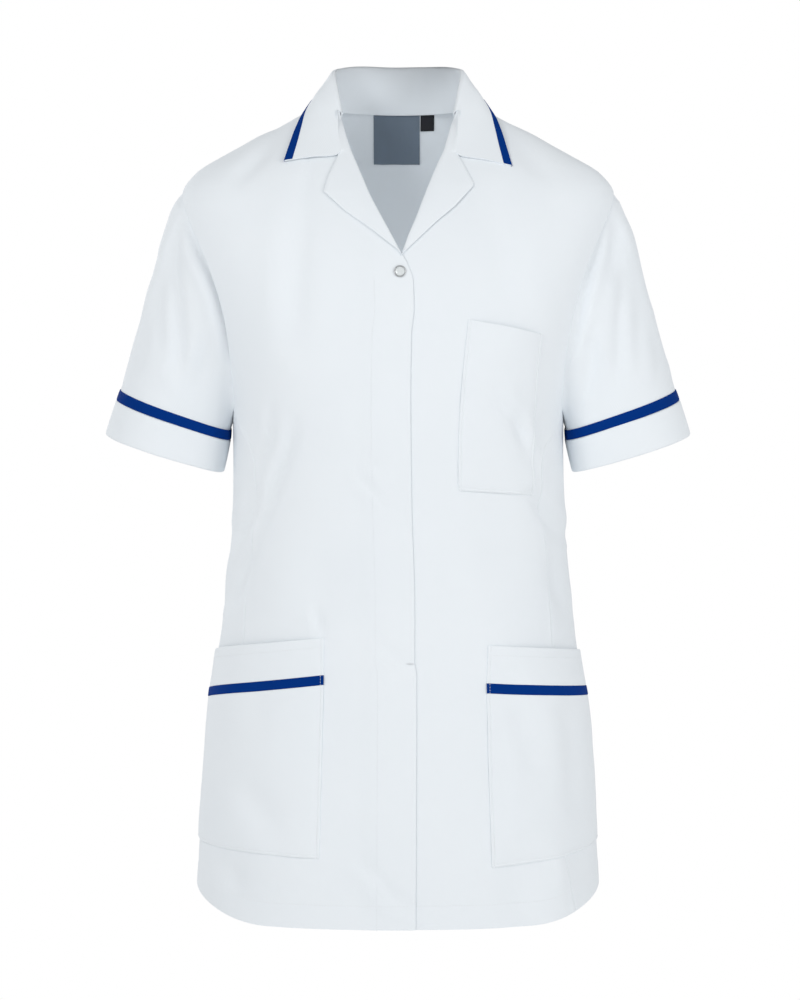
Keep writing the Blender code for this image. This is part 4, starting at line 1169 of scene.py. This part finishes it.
stitchColumn = pocketForm["stops"].index(pocketForm["stitchIn"])


def patchFace(turn, z, side, lift):
    point = bodyPoint(turn, z, side)
    swell = clothSwell(point) + unevenness(point, pocketForm["swell"], pocketForm["swellHeight"])
    out = clothForm["surface"] + lift - creaseDepth(point, "front") * pocketForm["creases"] + swell
    return point + bodyNormal(turn, z, side) * out[..., None]


def patchGrid(innerX, innerZ, outer, outerZ, columns):
    # the grid between a patch's two edges, with each point's distance from them
    inner = turnAtX(innerZ, innerX)
    width = (outer - inner) * quarterLength(innerZ)
    shares = spacedRow(width, columns, pocketForm["stops"])
    turn = inner[:, None] + (outer - inner)[:, None] * shares
    z = innerZ[:, None] + (outerZ - innerZ)[:, None] * shares
    return turn, z, shares, (shares * width[:, None], (1 - shares) * width[:, None])


def edgeLift(distances):
    # a stitched patch: held down at its edges, grooved along the stitches, free at its top
    form = pocketForm
    lift = form["proud"]
    for distance in distances:
        lift = lift - form["edgeDrop"] * bump(distance, form["edgeWidth"])
        lift = lift - form["stitchGroove"] * bump(distance - form["stitchIn"], form["ribWidth"])
        lift = lift + form["rib"] * bump(distance - form["ribIn"], form["ribWidth"])
        lift = lift - form["lowEdge"] * (1 - ease((distance - form["lowFrom"]) / form["lowSpan"]))
    return lift


def sewPatch(grids, foot):
    for column in (stitchColumn, -1 - stitchColumn):
        keepColumn(grids, column, stitchRuns)
    keepRow(foot, -1 - stitchColumn, stitchRuns)


def makeChestPocket():
    form = chestPocket
    lines = np.array(form["lines"], float)
    fine = np.linspace(0, 1, 200)
    guide = throughPoints(lines, fine * (len(lines) - 1))
    down = spacedRow(np.array([float(form["tall"])]), form["rows"], form["topStops"],
                     pocketForm["stops"])[0]
    innerX, innerZ, outerX, outerZ = (np.interp(down, fine, guide[:, k]) for k in range(4))
    turn, z, shares, sides = patchGrid(innerX, innerZ, turnAtX(outerZ, outerX), outerZ,
                                       form["columns"])
    down = down[:, None]
    lift = edgeLift(sides + ((1 - down) * form["tall"],))
    gape = form["gape"] * np.sin(math.pi * shares) ** form["gapePower"]
    leaning = shares - form["creaseAcross"] - form["creaseLean"] * (down - 0.5)
    crease = form["crease"] * bump(leaning, form["creaseWidth"])
    crease = crease * bump(down - form["creaseDown"], form["creaseLength"])
    lift = lift + gape * bump(down * form["tall"], form["gapeDepth"]) - crease
    points = patchFace(turn, z, left, lift)
    sewPatch([points], points)
    clothPiece("chestPocket", points, whiteTwill, "chest_pocket", thickness=pocketForm["thickness"])


def hipStrip(side, name):
    # one of the pocket's level strips; only the pocket itself is sewn down along its foot
    strip, tall = hipStrips[name], hipStrips[name]["tall"]
    first, last = (np.array(hipPockets[side][strip[key]], float) for key in ("from", "to"))
    down = spacedRow(np.array([float(tall)]), strip["rows"], *strip["stops"])[0]
    innerX, innerZ, outerZ, bow = (first[k] + (last[k] - first[k]) * down for k in range(4))
    outer = np.full(len(down), hipForm["outerTurn"])
    turn, z, shares, sides = patchGrid(innerX, innerZ, outer, outerZ, hipForm["columns"])
    fromTop, fromFoot = down[:, None] * tall, (1 - down[:, None]) * tall
    lift = edgeLift(sides + ((fromFoot,) if name == "pocket" else ())) + strip["proud"]
    lift = lift + bow[:, None] * np.sin(math.pi * np.clip(shares, 0, 1)) ** hipForm["bowPower"]
    topDrop, footDrop, width = strip["drops"]
    lift = lift - topDrop * bump(fromTop, width) - footDrop * bump(fromFoot, width)
    return patchFace(turn, z, side, lift)


def makeHipPocket(side):
    band, tape, pocket = (hipStrip(side, name) for name in ("band", "tape", "pocket"))
    clothPiece("hipPocketBand", band, whiteTwill, "hip_pocket_band", side,
               thickness=hipForm["bandThickness"])
    clothPiece("hipPocketTape", tape, blueTape, "hip_pocket_trim", side,
               thickness=hipForm["tapeThickness"], bevel=hipForm["tapeBevel"])
    clothPiece("hipPocket", pocket, whiteTwill, "hip_pocket", side,
               thickness=pocketForm["thickness"])
    # the side seams start below the band's turned edge and end at the foot's own stitches
    sewPatch([band[3:], tape, pocket[:-4]], pocket)
    keepRow(band, hipForm["bandStitches"], stitchRuns)
    for row in hipForm["tackRows"]:
        normals = gridNormals(pocket)[row:row + 3, stitchColumn]
        keepRun(tackRuns, pocket[row:row + 3, stitchColumn], normals, True)


makeChestPocket()
for side in (right, left):
    makeHipPocket(side)
print("pockets made")


# Label, tab and stud

labelForm = {"thickness": 0.35, "sunk": 0.5, "rows": 26, "columns": 24, "hangPower": 1.5,
             "ripple": 0.25, "ripples": 0.35}
labels = (  # name, left and top, right and foot, cloth, node, how far its foot hangs in
    ("neckLabel", (-23, 2.5), (20.4, -41), slateDamask, "neck_label", 0.9),
    ("sizeTab", (21.2, 2.5), (34, -11), blackRibbon, "size_tab", 0.6),
)
studForm = {"x": 1.8, "z": -154.3, "radius": 5.5, "rim": 0.55, "ringSides": 12, "seat": 0.15,
            "gap": 0.1, "capFoot": 0.35, "capHeight": 1.15, "capPower": 0.8, "capRings": 12,
            "underside": 0.1, "axis": 0.05, "segments": 48}


def makeLabel(name, start, end, cloth, node, hang):
    rows = np.linspace(start[1], end[1], labelForm["rows"])
    z, x = np.meshgrid(rows, np.linspace(start[0], end[0], labelForm["columns"]), indexing="ij")
    turn = turnAtX(z, x, back=True)
    share = (start[1] - z) / (start[1] - end[1])
    point = bodyPoint(turn, z, left)
    lift = clothForm["surface"] - clothForm["thickness"] - labelForm["sunk"]
    lift = lift - hang * share ** labelForm["hangPower"]
    lift = lift - labelForm["ripple"] * np.sin(x * labelForm["ripples"]) * share
    lift = lift - creaseDepth(point, "back") + clothSwell(point)
    points = point + bodyNormal(turn, z, left) * lift[..., None]
    clothPiece(name, points, cloth, node, thickness=labelForm["thickness"], bevel=0,
               outward=facingFront)


def turnedMesh(name, profile, place):
    # a mesh of revolution from (radius, height) pairs in mm, closed at the axis
    rings = np.array(profile, float)
    angles = np.linspace(0, 2 * math.pi, studForm["segments"], endpoint=False)
    heights = np.broadcast_to(rings[:, 1:], (len(rings), len(angles)))
    points = np.stack([rings[:, :1] * np.cos(angles), rings[:, :1] * np.sin(angles), heights], axis=-1)
    mesh = gridMesh(name, points, closed=True)
    mesh.transform(place)
    bm = bmesh.new()
    bm.from_mesh(mesh)
    bmesh.ops.remove_doubles(bm, verts=bm.verts, dist=0.02 * mm)
    bmesh.ops.holes_fill(bm, edges=bm.edges, sides=0)
    bmesh.ops.recalc_face_normals(bm, faces=bm.faces)
    bm.to_mesh(mesh)
    bm.free()
    return mesh


def makeStud():
    form = studForm
    turn, z = turnAtX(form["z"], -form["x"]), np.array(form["z"], float)
    away = Vector(bodyNormal(turn, z, right))
    seat = Vector(clothFace(turn, z, right, form["seat"], lapped=True)) * mm
    turned = Vector((0, 0, 1)).rotation_difference(away).to_matrix().to_4x4()
    place = Matrix.Translation(seat) @ turned
    outer, rim = form["radius"], form["rim"]
    ring = [(outer - rim + rim * math.cos(a), rim + rim * math.sin(a))
            for a in np.linspace(0, 2 * math.pi, form["ringSides"] + 1)[:-1]]
    inner = outer - 2 * rim - form["gap"]
    dome = [(inner * math.sin(a), form["capFoot"] + form["capHeight"] * math.cos(a) ** form["capPower"])
            for a in np.linspace(0.02, math.pi / 2, form["capRings"])]
    cap = dome + [(inner, form["underside"]), (form["axis"], form["underside"])]
    for name, profile, kind, node in (("studRing", ring + ring[:1], nickelPlate, "stud_ring"),
                                      ("studCap", cap, pearlResin, "stud_cap")):
        piece = addPiece(name, turnedMesh(name, profile, place), kind)
        sharpEdges(piece)
        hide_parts(node)


for label in labels:
    makeLabel(*label)
makeStud()
print("label, tab and stud made")


# Stitches

def stitchTree():
    tree = bpy.data.node_groups.new("stitchesAlongLines", "GeometryNodeTree")
    for name, way, kind in (("Geometry", "INPUT", "Geometry"), ("Pitch", "INPUT", "Float"),
                            ("Size", "INPUT", "Vector"), ("Thread", "INPUT", "Material"),
                            ("Geometry", "OUTPUT", "Geometry")):
        tree.interface.new_socket(name, in_out=way, socket_type="NodeSocket" + kind)
    given = tree.nodes.new("NodeGroupInput").outputs
    line = addNode(tree, "GeometryNodeMeshToCurve", None, {"Mesh": given["Geometry"]})
    spaced = addNode(tree, "GeometryNodeResampleCurve", {"mode": "LENGTH"},
                     {"Curve": line.outputs["Curve"], "Length": given["Pitch"]})
    bead = addNode(tree, "GeometryNodeMeshUVSphere", None, {"Segments": 6, "Rings": 4, "Radius": 0.5})
    outward, lie = (addNode(tree, "GeometryNodeInputNamedAttribute", {"data_type": "FLOAT_VECTOR"},
                            {"Name": name}).outputs["Attribute"] for name in ("outward", "lie"))
    turned = addNode(tree, "FunctionNodeAxesToRotation", {"primary_axis": "Z", "secondary_axis": "X"},
                     {"Primary Axis": outward, "Secondary Axis": lie})
    placed = addNode(tree, "GeometryNodeInstanceOnPoints", None,
                     {"Points": spaced.outputs["Curve"], "Instance": bead.outputs["Mesh"],
                      "Rotation": turned.outputs["Rotation"], "Scale": given["Size"]})
    real = addNode(tree, "GeometryNodeRealizeInstances", None,
                   {"Geometry": placed.outputs["Instances"]})
    dressed = addNode(tree, "GeometryNodeSetMaterial", None,
                      {"Geometry": real.outputs["Geometry"], "Material": given["Thread"]})
    addNode(tree, "NodeGroupOutput", None, {"Geometry": dressed.outputs["Geometry"]})
    return tree


def makeStitches(name, runs, size, pitch, tree):
    mesh = bpy.data.meshes.new(name)
    points, normals, lies, edges = [], [], [], []
    for line, away, lie in runs:
        first = len(points)
        points += list((line + away * threadForm["proud"]) * mm)
        normals += list(away)
        lies += list(lie)
        edges += [(first + i, first + i + 1) for i in range(len(line) - 1)]
    mesh.from_pydata([tuple(p) for p in points], edges, [])
    for key, values in (("outward", normals), ("lie", lies)):
        layer = mesh.attributes.new(key, "FLOAT_VECTOR", "POINT")
        layer.data.foreach_set("vector", np.array(values, np.float32).reshape(-1))
    piece = bpy.data.objects.new(name, mesh)
    bpy.context.scene.collection.objects.link(piece)
    modifier = piece.modifiers.new("Stitches", "NODES")
    modifier.node_group = tree
    inputs = {"Pitch": pitch * mm, "Size": [s * mm for s in size], "Thread": whiteThread}
    for socket in tree.interface.items_tree:
        if socket.in_out == "INPUT" and socket.name in inputs:
            modifier[socket.identifier] = inputs[socket.name]
    bakeModifiers(piece)
    piece.data.shade_smooth()
    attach(piece, "root")


lines = stitchTree()
makeStitches("seamStitches", stitchRuns, threadForm["stitch"], threadForm["pitch"], lines)
makeStitches("barTacks", tackRuns, threadForm["tack"], threadForm["tackPitch"], lines)
print("stitches made:", len(stitchRuns), "lines and", len(tackRuns), "tacks")


# The cloth that each piece is cut from

# width and length in mm, share of that rectangle that shows, how it is held, what it lies on
cutSizes = {
    "backPanel": (515, 835, 0.752, "hung"),
    "frontRight": (205, 860, 0.737, "hung", "frontLeft"),
    "frontLeft": (206, 860, 0.725, "hung"),
    "sideFrontRight": (100, 478, 0.777, "hung"),
    "sideFrontLeft": (100, 478, 0.777, "hung"),
    "sleeveRight": (525, 203, 0.411, "hung"),
    "sleeveLeft": (525, 203, 0.411, "hung"),
    "cuffTapeRight": (374, 10, 0.955, "laid", "sleeveRight"),
    "cuffTapeLeft": (374, 10, 0.955, "laid", "sleeveLeft"),
    "cuffRight": (381, 35, 0.94, "folded", "sleeveRight"),
    "cuffLeft": (381, 35, 0.94, "folded", "sleeveLeft"),
    "collarFolded": (431, 111, 0.597, "folded", "backPanel"),
    "collarTape": (434, 11, 0.9, "folded", "collarFolded"),
    "lapelRight": (44, 190, 0.41, "folded", "frontRight"),
    "lapelLeft": (44, 185, 0.43, "folded", "frontLeft"),
    "chestPocket": (79, 151, 0.96, "laid", "frontLeft"),
    "hipPocketRight": (186, 153, 0.895, "laid", "frontRight"),
    "hipPocketLeft": (172, 154, 0.904, "laid", "frontLeft"),
    "hipPocketBandRight": (176, 36, 0.934, "laid", "frontRight"),
    "hipPocketBandLeft": (163, 34, 0.957, "laid", "frontLeft"),
    "hipPocketTapeRight": (178, 10, 0.86, "laid", "hipPocketRight"),
    "hipPocketTapeLeft": (165, 10, 0.885, "laid", "hipPocketLeft"),
    "neckLabel": (44, 50, 0.98, "hung", "backPanel"),
    "sizeTab": (13, 17, 0.97, "hung", "backPanel"),
}
for name, (width, length, share, held, *under) in cutSizes.items():
    width, length = round(width * mm, 4), round(length * mm, 4)


# Floor, light and camera, in metres

stageForm = {  # of the floor and the card: two corners and the height
    "floor": (-2.3, -2.3, 2.3, 2.3, -1.42), "card": (-0.05, -0.035, 0.05, 0.04, 0.058),
    "backdrop": 1.0, "around": 0.75, "above": 0.45, "aboveFrom": 0.9,  # the light of the room
}
softboxes = (  # name, place, what it points at, width and height, watts
    ("keySoftbox", (-1.7, -2.5, 1.0), (0, 0, -0.35), (0.9, 0.9), 25),
    ("fillSoftbox", (2.3, -2.1, 0.2), (0, 0, -0.35), (1.3, 1.6), 21),
    ("backSoftbox", (-1.7, 2.5, 0.9), (0, 0, -0.35), (0.9, 0.9), 16),
    # what comes through the thin front and lights the back from inside
    ("insideGlow", (0, -0.07, -0.2), (0, 0.11, -0.16), (0.14, 0.08), 0.10),
)
cameraForm = {"place": (0.00184, -2.6, -0.2926), "down": 1.42, "lens": 101.7, "clip": (0.05, 50)}


def addLevelSheet(name, corners, material):
    x, y, endX, endY, z = corners
    mesh = bpy.data.meshes.new(name)
    mesh.from_pydata([(x, y, z), (endX, y, z), (endX, endY, z), (x, endY, z)], [], [(0, 1, 2, 3)])
    mesh.materials.append(material)
    sheet = bpy.data.objects.new(name, mesh)
    bpy.context.scene.collection.objects.link(sheet)
    sheet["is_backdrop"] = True
    return sheet


def makeWorld():
    # a pale room, dimmer overhead, that the camera sees as plain white
    world = bpy.data.worlds.new("whiteStudio")
    world.use_nodes = True
    tree = world.node_tree
    around = tree.nodes["Background"]
    around.inputs["Color"].default_value = (1, 1, 1, 1)
    direction = addNode(tree, "ShaderNodeTexCoord")
    height = addNode(tree, "ShaderNodeSeparateXYZ", None, {"Vector": direction.outputs["Generated"]})
    dimmed = addNode(tree, "ShaderNodeMapRange", {"interpolation_type": "SMOOTHSTEP"},
                     {"Value": height.outputs["Z"], "From Min": 0.0,
                      "From Max": stageForm["aboveFrom"],
                      "To Min": stageForm["around"], "To Max": stageForm["above"]})
    tree.links.new(dimmed.outputs["Result"], around.inputs["Strength"])
    backdrop = addNode(tree, "ShaderNodeBackground", None,
                       {"Color": (1, 1, 1, 1), "Strength": stageForm["backdrop"]})
    path = addNode(tree, "ShaderNodeLightPath")
    seen = addNode(tree, "ShaderNodeMixShader", None,
                   {0: path.outputs["Is Camera Ray"], 1: around.outputs[0], 2: backdrop.outputs[0]})
    tree.links.new(seen.outputs[0], tree.nodes["World Output"].inputs["Surface"])
    bpy.context.scene.world = world
    bpy.context.scene.view_settings.view_transform = "Standard"


def addSoftbox(name, place, aim, size, power):
    light = bpy.data.lights.new(name, "AREA")
    light.shape = "RECTANGLE"
    light.size, light.size_y = size
    light.energy = power
    box = bpy.data.objects.new(name, light)
    box.location = place
    box.rotation_mode = "QUATERNION"
    box.rotation_quaternion = (Vector(aim) - Vector(place)).to_track_quat("-Z", "Y")
    bpy.context.scene.collection.objects.link(box)


def addCamera():
    camera = bpy.data.objects.new("photoCamera", bpy.data.cameras.new("photoCamera"))
    bpy.context.scene.collection.objects.link(camera)
    camera.location = cameraForm["place"]
    camera.rotation_euler = (math.radians(90 - cameraForm["down"]), 0, 0)
    camera.data.lens = cameraForm["lens"]
    camera.data.clip_start, camera.data.clip_end = cameraForm["clip"]
    bpy.context.scene.camera = camera


addLevelSheet("studioFloor", stageForm["floor"], plainMaterial("matPaperSweep", "#F4F4F4"))
# a small dark card over the neck keeps the sky off the inside of the collar
neckCard = addLevelSheet("neckCard", stageForm["card"], plainMaterial("blackCard", "#202020"))
neckCard.visible_camera = False
makeWorld()
for softbox in softboxes:
    addSoftbox(*softbox)
addCamera()
print("stage made")

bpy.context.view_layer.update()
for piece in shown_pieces():
    print(piece.name, len(piece.data.polygons), "faces")
